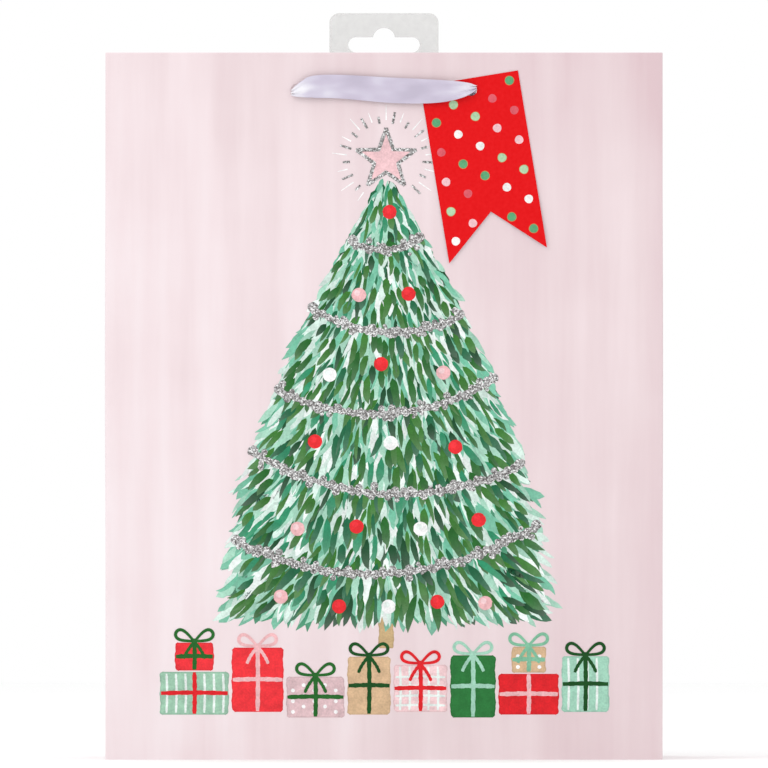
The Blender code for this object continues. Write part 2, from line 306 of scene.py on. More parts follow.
@dataclass(frozen=True)
class Satin(Finish):
    """Polyester satin ribbon: threads along its length that shine, and broad soft lights and shades painted
    into its colour, as a fold would catch the light.
    """

    name: str = "polyester_satin"
    roughness: float = 0.36
    shine: float = 0.45
    thread_mm: float = 0.3
    fold_light_mm: float = 9.0

    def dress(self, tree: Tree, shader: bpy.types.Node) -> None:
        """Works in the ribbon's own map, where u is metres across and v metres along.

        Its colour is painted paler where it is gathered towards its holes, a painted highlight where it
        stands up to the light, and soft noise paints broad lights and shades into it.
        """
        cloth = add(tree, "UVMap", uv_map="ribbon").outputs["UV"]
        fold_light_scale = (1000 / self.fold_light_mm, 1000 / (2.2 * self.fold_light_mm), 1.0)
        slow = add(tree, "Mapping", {"Vector": cloth}, {"Scale": fold_light_scale, "Rotation": (0, 0, 0.35)})
        painted_fold_light = noise(tree, slow.outputs["Vector"], 1.0, 1.5)
        axes = add(tree, "SeparateXYZ", {"Vector": add(tree, "TexCoord").outputs["Object"]})
        reach = add(tree, "Math", {0: axes.outputs["X"]}, operation="ABSOLUTE").outputs[0]
        painted_end_highlight = span(tree, reach, (0.029, 0.038), (-0.02, 0.20))
        stops = ((0.30, "#C3BACE"), (0.48, "#CEC5D9"), (0.60, "#D9D3E4"), (0.78, "#F5F3FA"))
        # painted light: the fold noise and the paler gathered ends are lights and shades painted into the
        # ribbon's colour
        colour_by(tree, shader, join(tree, painted_fold_light, painted_end_highlight), *stops)
        along = (1000 / self.thread_mm, 1000 / (60 * self.thread_mm), 1.0)
        fast = add(tree, "Mapping", {"Vector": cloth}, {"Scale": along})
        relieve(tree, shader, noise(tree, fast.outputs["Vector"], 1.0, 2.0), 0.08, 0.00005)
        shader.inputs["Sheen Weight"].default_value = 0.15
        shader.inputs["Sheen Roughness"].default_value = 0.3


@dataclass(frozen=True)
class TagCard(Finish):
    """Coated tag card printed solid red: slight mottle of the ink and a satin coat."""

    name: str = "red_printed_card"
    colour: str = "#E5171C"
    roughness: float = 0.5
    shine: float = 0.06
    mottle_mm: float = 1.6

    def dress(self, tree: Tree, shader: bpy.types.Node) -> None:
        """The red varies a little, as a solid ink does on card."""
        place = add(tree, "TexCoord").outputs["Object"]
        mottle = noise(tree, place, 1000 / self.mottle_mm, 4.0)
        colour_by(tree, shader, mottle, (0.3, "#E41015"), (0.7, "#EA1A1E"))


@dataclass(frozen=True)
class ClearFilm(Finish):
    """Clear polyester film, die cut: frosted a little by handling, so it reads as pale grey."""

    name: str = "clear_polyester_film"
    colour: str = "#DADAD7"
    roughness: float = 0.22
    clearness: float = 0.62
    scuff_mm: float = 3.0

    def dress(self, tree: Tree, shader: bpy.types.Node) -> None:
        """A constant alpha lets what is behind show, and scuffs vary the tone."""
        place = add(tree, "TexCoord").outputs["Object"]
        scuff = noise(tree, place, 1000 / self.scuff_mm, 5.0)
        colour_by(tree, shader, scuff, (0.3, "#EDEDEB"), (0.7, "#F8F8F6"))
        shader.inputs["Alpha"].default_value = 1 - self.clearness
        shader.inputs["Coat Weight"].default_value = 0.4


# Meshes -----------------------------------------------------------------------------------


def smooth_path(points: np.ndarray, steps: int) -> np.ndarray:
    """A smooth curve through every point, by Catmull-Rom cubics.

    Args:
        points: one row for each point, with any number of values.
        steps: how many values to work out for each stretch.

    Returns:
        The values along the curve, first and last points included.
    """
    points = np.asarray(points, float)
    padded = np.concatenate([points[:1], points, points[-1:]])
    t = np.linspace(0, 1, steps, endpoint=False)[None, :, None]
    a, b, c, d = (padded[i : len(padded) - 3 + i, None, :] for i in range(4))
    curve = 0.5 * (2 * b + (c - a) * t + (2 * a - 5 * b + 4 * c - d) * t**2 + (3 * b - a - 3 * c + d) * t**3)
    return np.concatenate([curve.reshape(-1, points.shape[1]), points[-1:]])


def resample(path: np.ndarray, count: int) -> np.ndarray:
    """Evenly spaced points along a path.

    Args:
        path: the path's points, one row each.
        count: how many points to return.

    Returns:
        The evenly spaced points.
    """
    run = np.concatenate([[0], np.cumsum(np.linalg.norm(np.diff(path, axis=0), axis=1))])
    places = np.linspace(0, run[-1], count)
    return np.stack([np.interp(places, run, path[:, k]) for k in range(path.shape[1])], axis=1)


def grid_normals(grid: np.ndarray) -> np.ndarray:
    """Unit normals of a grid of points: the cross product of its column and row directions."""
    down = np.gradient(grid, axis=0)
    across = np.gradient(grid, axis=1)
    normal = np.cross(across, down)
    return normal / np.maximum(np.linalg.norm(normal, axis=2, keepdims=True), 1e-12)


def grid_faces(rows: int, columns: int) -> np.ndarray:
    """Quads of a grid whose points are numbered along its rows."""
    number = np.arange(rows * columns).reshape(rows, columns)
    corners = (number[:-1, :-1], number[:-1, 1:], number[1:, 1:], number[1:, :-1])
    return np.stack([c.ravel() for c in corners], axis=1)


def new_piece(
    name: str,
    points: np.ndarray,
    faces: list,
    finishes: list[bpy.types.Material],
    slots: np.ndarray | None = None,
    chart: np.ndarray | None = None,
    ink: np.ndarray | None = None,
    crisp: float = 40.0,
) -> bpy.types.Object:
    """Makes a mesh object at the origin, with its faces turned to point out.

    Args:
        name: the piece's name.
        points: its vertices, in metres.
        faces: vertex numbers of each face.
        finishes: its materials in slot order.
        slots: the material slot of each face.
        chart: two UV values for each vertex, stored as the map "ribbon".
        ink: a linear colour for each vertex, stored as the attribute "ink".
        crisp: edges sharper than this many degrees aren't smoothed.

    Returns:
        The new object.
    """
    mesh = bpy.data.meshes.new(name)
    mesh.from_pydata(points.reshape(-1, 3).tolist(), [], faces)
    for finish in finishes:
        mesh.materials.append(finish)
    if slots is not None:
        mesh.polygons.foreach_set("material_index", np.asarray(slots, np.int32))
    if ink is not None:
        colours = np.concatenate([ink.reshape(-1, 3), np.ones((ink.size // 3, 1))], axis=1)
        layer = mesh.color_attributes.new("ink", "FLOAT_COLOR", "POINT")
        layer.data.foreach_set("color", colours.astype(np.float32).ravel())
    if chart is not None:
        corner = np.empty(len(mesh.loops), np.int32)
        mesh.loops.foreach_get("vertex_index", corner)
        layer = mesh.uv_layers.new(name="ribbon")
        layer.data.foreach_set("uv", chart.reshape(-1, 2)[corner].astype(np.float32).ravel())
    shape = bmesh.new()
    shape.from_mesh(mesh)
    bmesh.ops.dissolve_degenerate(shape, dist=2e-7, edges=shape.edges)
    bmesh.ops.recalc_face_normals(shape, faces=shape.faces)
    shape.to_mesh(mesh)
    shape.free()
    mesh.shade_smooth()
    mesh.set_sharp_from_angle(angle=math.radians(crisp))
    piece = bpy.data.objects.new(name, mesh)
    bpy.context.scene.collection.objects.link(piece)
    return piece


def sheet_piece(
    name: str,
    outer: np.ndarray,
    inner: np.ndarray,
    finishes: list[bpy.types.Material],
    chart: np.ndarray | None = None,
) -> bpy.types.Object:
    """A closed sheet between two grids: slot 0 outside, the last slot inside and on the edges.

    Args:
        name: the piece's name.
        outer: grid of points on its outer face.
        inner: the matching grid on its inner face.
        finishes: one or two materials.
        chart: a grid of UV values.

    Returns:
        The new object.
    """
    rows, columns = outer.shape[:2]
    count = rows * columns
    face = grid_faces(rows, columns)
    number = np.arange(count).reshape(rows, columns)
    rim = np.concatenate([number[0], number[1:, -1], number[-1, -2::-1], number[-2:0:-1, 0]])
    after = np.roll(rim, -1)
    edge = np.stack([rim, after, after + count, rim + count], axis=1)
    faces = np.concatenate([face, face[:, ::-1] + count, edge])
    last = len(finishes) - 1
    slots = np.concatenate([np.zeros(len(face)), np.full(len(face) + len(edge), last)])
    points = np.concatenate([outer.reshape(-1, 3), inner.reshape(-1, 3)])
    both = None if chart is None else np.concatenate([chart.reshape(-1, 2)] * 2)
    return new_piece(name, points, faces.tolist(), finishes, slots, both)


def punch(piece: bpy.types.Object, centres: list[tuple[float, float, float]], radius: float) -> None:
    """Cuts round holes through a piece along Y, and applies the cuts.

    Args:
        piece: the piece to cut.
        centres: a point on each hole's axis.
        radius: the holes' radius in metres.
    """
    for centre in centres:
        bpy.ops.mesh.primitive_cylinder_add(vertices=48, radius=radius, depth=0.02, location=centre)
        cutter = bpy.context.object
        cutter.rotation_euler = (math.pi / 2, 0, 0)
        cut = piece.modifiers.new("hole", "BOOLEAN")
        cut.object = cutter
        bpy.context.view_layer.update()
        graph = bpy.context.evaluated_depsgraph_get()
        mesh = bpy.data.meshes.new_from_object(piece.evaluated_get(graph), depsgraph=graph)
        piece.modifiers.clear()
        old = piece.data
        piece.data = mesh
        mesh.name = piece.name
        bpy.data.meshes.remove(old)
        bpy.data.objects.remove(cutter, do_unlink=True)


# The paper bag ----------------------------------------------------------------------------


@dataclass(frozen=True)
class BagSizes:
    """The bag's sizes, read from the frame, in metres."""

    half_width: float
    half_depth: float
    height: float
    paper: float
    gap: float
    hem_depth: float
    wall_stack: float
    hole_x: float
    hole_z: float

    @staticmethod
    def read() -> BagSizes:
        """Reads the sizes from the boxes of the frame's pieces."""
        low, high = (np.array(v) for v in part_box("front_panel"))
        hem_low, hem_high = (np.array(v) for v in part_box("front_top_hem"))
        rear_low, _ = (np.array(v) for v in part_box("left_gusset_rear"))
        knot_low, knot_high = (np.array(v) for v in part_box("front_right_knot"))
        ribbon_low, ribbon_high = (np.array(v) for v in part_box("front_handle_ribbon"))
        return BagSizes(
            half_width=high[0],
            half_depth=-low[1],
            height=high[2],
            paper=high[1] - low[1],
            gap=2 * rear_low[1],
            hem_depth=high[2] - hem_low[2],
            wall_stack=hem_high[1] - low[1],
            hole_x=(knot_low[0] + knot_high[0]) / 2,
            hole_z=high[2] - 17.5 * MM,
        )


@dataclass(frozen=True)
class Wall:
    """The front or back wall's outer face, which bellies out a little above the base."""

    sizes: BagSizes
    side: int
    belly: float = 0.9 * MM
    belly_top: float = 200 * MM

    def swell(self, u: np.ndarray, v: np.ndarray) -> np.ndarray:
        """How far the face stands out: a parabola across times a squared sine up to the belly's top."""
        across = 1 - (u / self.sizes.half_width) ** 2
        up = np.sin(math.pi * np.clip(v / self.belly_top, 0, 1)) ** 2
        return self.belly * across * up

    def place(self, u: np.ndarray, v: np.ndarray, depth: np.ndarray | float) -> np.ndarray:
        """Points on or under the face.

        Args:
            u: distance to the right of the middle, as its viewer sees it.
            v: height.
            depth: distance inside the face, negative outside it.

        Returns:
            Points in metres.
        """
        u, v, depth = np.broadcast_arrays(u, v, depth)
        out = self.sizes.half_depth + self.swell(u, v) - depth
        return np.stack([-self.side * u, self.side * out, v], axis=-1)


@dataclass(frozen=True)
class Side:
    """The left or right gusset's outer face, with a soft swell on each half."""

    sizes: BagSizes
    side: int
    belly: float = 0.55 * MM

    def place(self, s: np.ndarray, v: np.ndarray, depth: np.ndarray | float) -> np.ndarray:
        """Points on or under the face, where s runs from the front corner to the back one.

        Each half swells by a sine between its creases, faded by a sine over the height.
        """
        s, v, depth = np.broadcast_arrays(s, v, depth)
        half = self.sizes.half_depth
        fade = np.sin(math.pi * np.clip((v - half) / (self.sizes.height - 1.5 * half), 0, 1))
        swell = self.belly * np.abs(np.sin(math.pi * s / half)) * fade
        out = self.sizes.half_width + swell - depth
        return np.stack([self.side * out, s - half, v], axis=-1)


@dataclass
class PaperShell:
    """The bag's own sheet: walls, gussets and lower webs, with their tops turned in as a hem."""

    sizes: BagSizes
    printed: bpy.types.Material
    bare: bpy.types.Material
    rows: int = 84
    hem_rows: int = 12
    bend_rows: int = 9
    lip_radius: float = 0.4 * MM

    def columns(self, low: float, high: float, count: int) -> tuple[np.ndarray, np.ndarray]:
        """Places across a wall whose ends curl round its corners.

        Returns:
            The places, and the depth that the curl adds at each: a quarter circle at each end.
        """
        radius = self.lip_radius
        turn = np.linspace(0, math.radians(85), 6)[1:]
        flat = np.linspace(low + radius, high - radius, count)
        ends = radius * np.sin(turn)
        place = np.concatenate([(low + radius - ends)[::-1], flat, high - radius + ends])
        curl = radius * (1 - np.cos(turn))
        return place, np.concatenate([curl[::-1], np.zeros(count), curl])

    def hemmed(
        self,
        name: str,
        place: Callable,
        across: np.ndarray,
        curl: np.ndarray,
        bottom: np.ndarray,
        stack: float,
        hem_span: tuple[float, float],
    ) -> bpy.types.Object:
        """A sheet that runs up to the rim, over a half circle, and down inside as a hem.

        Args:
            name: the piece's name.
            place: maps across, height and depth to a point.
            across: the columns' places.
            curl: depth added at each column below the rim.
            bottom: the sheet's lower edge at each column.
            stack: depth of the hem's face behind the outer face.
            hem_span: the hem's first and last places across.

        Returns:
            The new piece.
        """
        radius = stack / 2
        shoulder = self.sizes.height - radius
        up = np.linspace(0, 1, self.rows)[:, None]
        rise = bottom + (shoulder - bottom) * up
        turn = np.linspace(0, math.pi, self.bend_rows + 1)[1:, None]
        down = np.linspace(shoulder, self.sizes.height - self.sizes.hem_depth, self.hem_rows)[1:, None]
        wide = np.ones_like(across)[None, :]
        height = np.concatenate([rise, (shoulder + radius * np.sin(turn)) * wide, down * wide])
        over = radius * (1 - np.cos(turn)) * wide
        depth = np.concatenate([np.zeros_like(rise), over, stack + 0 * down * wide])
        share = (across - across[0]) / (across[-1] - across[0])
        hem_across = hem_span[0] + (hem_span[1] - hem_span[0]) * share
        inward = np.clip(depth / stack, 0, 1)
        spread = across * (1 - inward) + hem_across * inward
        depth = depth + curl * (1 - inward)
        outer = place(spread, height, depth)
        return self.thicken(name, outer, place)

    def thicken(self, name: str, outer: np.ndarray, place: Callable) -> bpy.types.Object:
        """Gives an outer grid the paper's thickness on its inner side."""
        normal = grid_normals(outer)
        middle = outer.shape[1] // 2
        inwards = place(np.array([0.03]), np.array([0.15]), np.array([0.001]))
        inwards = (inwards - place(np.array([0.03]), np.array([0.15]), np.array([0.0])))[0]
        if np.dot(normal[3, middle], inwards) < 0:
            normal = -normal
        return sheet_piece(name, outer, outer + normal * self.sizes.paper, [self.printed, self.bare])

    def wall(self, name: str, side: int, bottom: float) -> bpy.types.Object:
        """The front or back wall with its hem and handle holes."""
        sizes = self.sizes
        across, curl = self.columns(-sizes.half_width, sizes.half_width, 67)
        reach = sizes.half_width - 5 * sizes.gap
        edge = np.full_like(across, bottom)
        place = Wall(sizes, side).place
        piece = self.hemmed(name, place, across, curl, edge, sizes.wall_stack, (-reach, reach))
        centres = [(x, side * sizes.half_depth, sizes.hole_z) for x in (-sizes.hole_x, sizes.hole_x)]
        punch(piece, centres, 3 * MM)
        return piece

    def gusset_half(self, name: str, side: int, front: bool) -> bpy.types.Object:
        """Half a gusset: above the diagonal crease at the front, above the level one at the back."""
        sizes = self.sizes
        corner = sizes.paper + sizes.gap
        inset = sizes.wall_stack + sizes.gap
        middle = sizes.half_depth
        if front:
            across, curl = self.columns(corner, middle - sizes.gap / 2, 24)
            bottom = across + 2 * sizes.gap
            span = (inset, middle - sizes.gap / 2)
        else:
            across, curl = self.columns(middle + sizes.gap / 2, 2 * middle - corner, 24)
            bottom = np.full_like(across, middle + sizes.gap / 2)
            span = (middle + sizes.gap / 2, 2 * middle - inset)
        stack = 2 * sizes.paper + sizes.gap
        place = Side(sizes, side).place
        return self.hemmed(name, place, across, curl, bottom, stack, span)

    def web(self, name: str, side: int) -> bpy.types.Object:
        """The part of a gusset under its creases: up to the diagonal, then to the level crease."""
        sizes = self.sizes
        corner = sizes.paper + sizes.gap
        across = np.linspace(corner, 2 * sizes.half_depth - corner, 45)
        top = np.minimum(across, sizes.half_depth - sizes.gap / 2)
        low = sizes.gap
        height = low + (top - low) * np.linspace(0, 1, 24)[:, None]
        place = Side(sizes, side).place
        return self.thicken(name, place(across[None, :] + 0 * height, height, 0.0), place)

    def back_strip(self, name: str) -> bpy.types.Object:
        """The back wall's strip under its level crease."""
        sizes = self.sizes
        across, curl = self.columns(-sizes.half_width, sizes.half_width, 67)
        top = sizes.half_depth - sizes.gap / 2
        height = np.linspace(sizes.gap, top, 18)[:, None] + 0 * across
        place = Wall(sizes, BACK).place
        return self.thicken(name, place(across[None, :] + 0 * height, height, curl + 0 * height), place)

    def build(self) -> None:
        """Makes every paper piece, and says what carries it and which plain pieces it stands for."""
        half = self.sizes.half_depth
        front = self.wall("front_wall", FRONT, 0.0)
        settle(front, "front_panel", "printed_paper", "front_panel", "front_top_hem")
        back = self.wall("back_wall", BACK, half + self.sizes.gap / 2)
        settle(back, "back_panel", "printed_paper", "back_panel", "back_top_hem")
        strip = self.back_strip("back_wall_lower")
        settle(strip, "base", "printed_paper", "back_panel_lower")
        flatten(strip)
        for word, side in (("left", -1), ("right", 1)):
            for end, is_front in (("front", True), ("rear", False)):
                piece = self.gusset_half(f"{word}_side_{end}", side, is_front)
                body = f"{word}_gusset_{end}"
                settle(piece, body, "printed_paper", body, f"{word}_hem_{end}")
            web = self.web(f"{word}_side_lower", side)
            settle(web, "base", "printed_paper", f"{word}_gusset_lower")
            flatten(web)


def settle(piece: bpy.types.Object, body: str, slot: str, *nodes: str) -> None:
    """Makes a piece ride on a body, and hides the nodes it stands for."""
    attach(piece, body)
    if nodes:
        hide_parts(*nodes)
    LOG.info("%s rides on %s with %d faces", piece.name, body, len(piece.data.polygons))


def flatten(piece: bpy.types.Object) -> None:
    """Gives a piece of the lower bag its own copy of its mesh data."""
    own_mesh(piece)


# The printed picture ----------------------------------------------------------------------


class Tint(Enum):
    """The picture's colours."""

    FROST = "#EEF8F4"
    PALE = "#D8EFE5"
    MINT = "#A6D8C1"
    AQUA = "#74C2A3"
    TEAL = "#2E9269"
    EMERALD = "#1B6A45"
    DEEP = "#154E2C"
    OLIVE = "#3B7A30"
    FOREST = "#256A2A"
    RED = "#EE2F35"
    WATER_RED = "#F6373F"
    CHERRY = "#E5222A"
    PINK = "#F3BDC0"
    ROSE = "#F7D3D6"
    BLUSH = "#E4C4C8"
    WHITE = "#FFFFFF"
    KRAFT = "#DDBB95"
    TRUNK = "#CDB083"
    SAGE = "#A2CDB3"
    BOTTLE = "#17501F"
    LEAF_MINT = "#84C3A2"
    PARCEL_GREEN = "#2C7A3C"
    STAR = "#F3C9CD"


def tint(*names: Tint) -> np.ndarray:
    """Linear colours of the named tints, one row each."""
    return np.stack([linear(name.value) for name in names])


class Printing:
    """Thin shapes of ink on a wall, gathered and then built as one piece.

    Places are in millimetres: right of the wall's middle and up from the base.
    """

    def __init__(self, seed: int) -> None:
        """Starts empty, with its own random draws."""
        self.batches: list[tuple] = []
        self.lines = 0
        self.random = np.random.default_rng(seed)

    def bands(
        self, left: np.ndarray, right: np.ndarray, colours: np.ndarray, levels: np.ndarray | float
    ) -> None:
        """Adds filled bands that all have the same number of stations.

        Args:
            left: left edges, bands by stations by two.
            right: right edges.
            colours: one colour for each band, or one for each station.
            levels: height of each band's ink above the paper.
        """
        left, right = np.asarray(left, float), np.asarray(right, float)
        count, stations = left.shape[:2]
        colours = np.asarray(colours, float)
        if colours.ndim == 2:
            colours = colours[:, None, :]
        colours = np.broadcast_to(colours, (count, stations, 3))
        levels = np.broadcast_to(np.asarray(levels, float), (count,))
        self.batches.append((left, right, colours, levels))

    def strokes(
        self, centres: np.ndarray, halves: np.ndarray, colours: np.ndarray, levels: np.ndarray | float
    ) -> None:
        """Adds brush strokes, from their centre lines and their half width at each station."""
        centres = np.asarray(centres, float)
        halves = np.broadcast_to(np.maximum(halves, 0.08), centres.shape[:2])
        along = np.gradient(centres, axis=1)
        along /= np.maximum(np.linalg.norm(along, axis=2, keepdims=True), 1e-9)
        across = np.stack([-along[:, :, 1], along[:, :, 0]], axis=2) * halves[:, :, None]
        self.bands(centres + across, centres - across, colours, levels)

    def line(self, points: list, width: float, colour: Tint, level: float, taper: float = 0.8) -> None:
        """One smooth stroke through points, narrowed towards its ends, on a level of its own."""
        self.lines += 1
        level = level + 0.0025 * (self.lines % 5)
        path = resample(smooth_path(np.array(points, float), 12), 26)
        share = np.linspace(0, 1, 26)
        swell = np.clip(np.minimum(share, 1 - share) * 9, 0, 1)
        wobble = 1 + 0.10 * np.sin(share * 31 + points[0][0]) + 0.06 * np.sin(share * 67 + points[0][1])
        half = width / 2 * (taper + (1 - taper) * swell) * wobble
        self.strokes(path[None], half[None], tint(colour), level)

    def discs(
        self, centres: np.ndarray, radii: np.ndarray, colours: np.ndarray, level: np.ndarray | float
    ) -> None:
        """Round dots, each a stroke whose half width follows a circle, a little uneven."""
        centres = np.asarray(centres, float)
        turn = np.linspace(0, math.pi, 15)
        wobble = 1 + 0.035 * self.random.standard_normal((len(centres), 15))
        radii = np.broadcast_to(np.asarray(radii, float), (len(centres),))[:, None]
        up = centres[:, None, 1] - radii * np.cos(turn)
        lines = np.stack([np.broadcast_to(centres[:, None, 0], up.shape), up], axis=2)
        self.strokes(lines, radii * np.sin(turn) * wobble, colours, level)

    def block(self, box: tuple, colour: Tint, level: float, corner: float = 1.3, wobble: float = 0.2) -> None:
        """A hand-painted rectangle with soft corners and uneven sides, edged where its pigment gathered.

        Args:
            box: left, bottom, right and top.
            colour: its colour.
            level: height of its ink.
            corner: radius of its corners.
            wobble: how far its sides stray.
        """
        left, bottom, right, top = box
        up = np.linspace(bottom, top, 30)
        near = np.minimum(np.minimum(up - bottom, top - up), corner)
        inset = corner - np.sqrt(np.maximum(corner**2 - (corner - near) ** 2, 0))
        one = left + inset + wobble * (np.sin(up * 0.7 + left) + 0.5 * np.sin(up * 2.1 + right))
        two = right - inset + wobble * (np.sin(up * 0.6 + top) + 0.5 * np.sin(up * 1.9 + bottom))
        sides = [np.stack([x, up], axis=1) for x in (one, two)]
        self.bands(sides[0][None], sides[1][None], tint(colour), level)
        darker = tint(colour) * 0.86
        for side, way in zip(sides, (0.28, -0.28)):
            self.strokes((side + [way, 0])[None], np.full((1, 30), 0.24), darker, level + 0.004)
        for end, way in ((0, 0.28), (-1, -0.28)):
            ends = np.linspace(sides[0][end] + [0.3, way], sides[1][end] + [-0.3, way], 12)
            self.strokes(ends[None], np.full((1, 12), 0.2), darker, level + 0.008)

    def loop(
        self, knot: tuple, degrees: float, length: float, width: float, ink: Tint, level: float, fat: float
    ) -> None:
        """A bow's loop: a teardrop that leaves the knot and comes back to it.

        Along the loop, the reach is a sine over half a turn and the sideways step a sine over a whole one.
        """
        t = np.linspace(0.03, 0.97, 26)
        way = np.array([math.cos(math.radians(degrees)), math.sin(math.radians(degrees))])
        side = np.array([-way[1], way[0]])
        reach = length * np.sin(math.pi * t) ** 0.9
        step = fat * length * np.sin(TAU * t)
        path = np.array(knot) + reach[:, None] * way + step[:, None] * side
        half = width / 2 * (0.85 + 0.25 * np.sin(math.pi * t))
        self.strokes(path[None], half[None], tint(ink), level)

    def bow(
        self, knot: tuple, degrees: tuple, length: float, width: float, ink: Tint, level: float, fat: float
    ) -> None:
        """A bow: its loops, each on a level of its own, and a dab for its knot."""
        for i, way in enumerate(degrees):
            self.loop(knot, way, length, width, ink, level + 0.004 * i, fat)
        self.discs(np.array([knot]), width * 0.95, tint(ink), level + 0.004 * len(degrees))

    def build(
        self, name: str, wall: Wall, finish: bpy.types.Material, low: float, high: float
    ) -> bpy.types.Object | None:
        """Builds the gathered shapes between two heights, as one piece.

        A shape that crosses either height is flattened onto it, so that its halves meet at a crease.

        Args:
            name: the piece's name.
            wall: the wall it is printed on.
            finish: the ink's material.
            low: the lowest height in metres.
            high: the highest height in metres.

        Returns:
            The piece, or None when no shape lies between the heights.
        """
        points: list[np.ndarray] = []
        faces: list[np.ndarray] = []
        inks: list[np.ndarray] = []
        start = 0
        for left, right, colours, levels in self.batches:
            up = np.stack([left, right])[..., 1] * MM
            chosen = (up.max(axis=(0, 2)) > low) & (up.min(axis=(0, 2)) < high)
            if not chosen.any():
                continue
            left, right, colours, levels = (v[chosen] for v in (left, right, colours, levels))
            count, n = left.shape[:2]
            sides = np.stack([left, right], axis=1) * MM
            across, up = sides[..., 0], np.clip(sides[..., 1], low, high)
            top = wall.place(across, up, -levels[:, None, None] * MM)
            under = wall.place(across, up, -0.008 * MM)
            points.append(np.concatenate([top, under], axis=1).reshape(-1, 3))
            inks.append(np.broadcast_to(colours[:, None], (count, 4, n, 3)).reshape(-1, 3))
            k = np.arange(n - 1)
            strips = [(0, 1), (1, 3), (3, 2), (2, 0)]
            quads = [np.stack([a * n + k, b * n + k, b * n + k + 1, a * n + k + 1], 1) for a, b in strips]
            ends = np.array([[0, 2 * n, 3 * n, n], [n - 1, 2 * n - 1, 4 * n - 1, 3 * n - 1]])
            one = np.concatenate([*quads, ends])
            shift = start + 4 * n * np.arange(count)[:, None, None]
            faces.append((one[None] + shift).reshape(-1, 4))
            start += 4 * n * count
        if not points:
            return None
        every = np.concatenate(faces)
        return new_piece(name, np.concatenate(points), every.tolist(), [finish], ink=np.concatenate(inks))


@dataclass(frozen=True)
class BrushPass:
    """One layer of leaf strokes: its tints with their shares, its spacing and sizes, and its ink level."""

    shares: tuple[tuple[Tint, float], ...]
    row_step: float
    column_step: float
    length: tuple[float, float]
    half: tuple[float, float]
    level: float
    reach: float = 1.0
    density: float = 1.0


@dataclass
class PaintedTree:
    """A loosely brushed fir in three layers: a dark wash, pale leaves, and dark leaves over them."""

    top: float = 270.0
    hem: float = 70.0
    foot: float = 60.0
    widest: float = 73.0
    axis: float = 1.0
    stations: int = 8
    passes: tuple = (
        BrushPass(
            ((Tint.EMERALD, 0.34), (Tint.TEAL, 0.34), (Tint.DEEP, 0.12), (Tint.AQUA, 0.20)),
            4.4,
            4.2,
            (13.0, 21.0),
            (1.8, 3.1),
            0.030,
            reach=0.96,
        ),
        BrushPass(
            ((Tint.FROST, 0.13), (Tint.PALE, 0.31), (Tint.MINT, 0.34), (Tint.AQUA, 0.22)),
            4.0,
            3.7,
            (10.0, 20.0),
            (1.0, 2.3),
            0.066,
        ),
        BrushPass(
            (
                (Tint.OLIVE, 0.30),
                (Tint.FOREST, 0.28),
                (Tint.EMERALD, 0.18),
                (Tint.TEAL, 0.14),
                (Tint.DEEP, 0.10),
            ),
            5.4,
            4.8,
            (9.0, 19.0),
            (0.9, 2.2),
            0.102,
            reach=0.95,
            density=0.78,
        ),
    )

    def half_width(self, up: np.ndarray) -> np.ndarray:
        """Half the tree's width at a height, in millimetres: a quarter of a sine from top to foot."""
        share = np.clip((self.top + 1 - up) / (self.top + 1 - self.foot), 0, 1)
        return 2 + self.widest * np.sin(math.pi / 2 * share**0.95)

    def paint(self, ink: Printing) -> None:
        """Paints a soft under-colour and the trunk, and then each layer of leaves."""
        up = np.linspace(self.hem - 2, self.top - 8, 90)
        ragged = self.half_width(up) * 0.84 + 0.02 * (self.top - up) * np.sin(up * 1.7) * 0.5
        centre = np.stack([np.full(90, self.axis), up], axis=1)
        ink.strokes(centre[None], np.maximum(ragged, 0.5)[None], tint(Tint.AQUA), 0.022)
        trunk = (self.axis - 3.5, self.foot - 8, self.axis + 3.5, self.foot + 8)
        ink.block(trunk, Tint.TRUNK, 0.014, corner=0.4)
        for layer in self.passes:
            self.leaves(ink, layer)

    def leaves(self, ink: Printing, layer: BrushPass) -> None:
        """Paints one layer of leaves.

        A leaf leans with its distance from the axis, and its width swells and closes like a sine.
        Neighbours lie at different levels, so that no two prints share one face.
        """
        rng = ink.random
        rows = np.arange(self.hem, self.top - 3, layer.row_step)
        counts = np.ceil(2 * self.half_width(rows) * layer.reach / layer.column_step).astype(int)
        row = np.repeat(np.arange(len(rows)), counts)
        column = np.concatenate([np.arange(c) for c in counts])
        share = (2 * (column + 0.5) / np.repeat(counts, counts) - 1) * layer.reach
        kept = rng.random(len(row)) < layer.density
        row, column, share = row[kept], column[kept], share[kept]
        total = len(row)
        height = rows[row] + rng.uniform(-2.0, 2.0, total)
        x = self.axis + (share + rng.normal(0, 0.018, total)) * self.half_width(height)
        fall = np.clip((self.top - height) / 200, 0, 1)
        fan = np.radians(share * (36 + 22 * fall) + rng.normal(0, 8, total))
        length = rng.uniform(*layer.length, total) * (0.66 + 0.34 * fall)
        bend = rng.normal(0, 0.10, total)[:, None]
        t = np.linspace(-0.5, 0.5, self.stations)
        angle = fan[:, None] + bend * (2 * t) ** 2 * np.sign(t)
        step = length[:, None] * t
        lines = np.stack([x[:, None] + step * np.sin(angle), height[:, None] - step * np.cos(angle)], axis=2)
        s = t + 0.5
        swell = np.sin(math.pi * s ** rng.uniform(0.6, 1.1, (total, 1)))
        profile = swell ** rng.uniform(0.4, 0.8, (total, 1))
        uneven = 1 + 0.09 * rng.standard_normal((total, self.stations))
        halves = (rng.uniform(*layer.half, total) * (0.55 + 0.45 * np.sqrt(fall)))[:, None] * profile * uneven
        colours = [name for name, _ in layer.shares]
        chances = np.array([part for _, part in layer.shares])
        pick = rng.choice(len(colours), total, p=chances / chances.sum())
        base = tint(*colours)[pick] * rng.uniform(0.88, 1.10, (total, 1))
        fade = (0.10 * s**2)[None, :, None]
        levels = layer.level + 0.004 * ((2 * row + column % 2) % 8)
        ink.strokes(lines, halves, base[:, None, :] * (1 - fade) + fade * 0.8, levels)


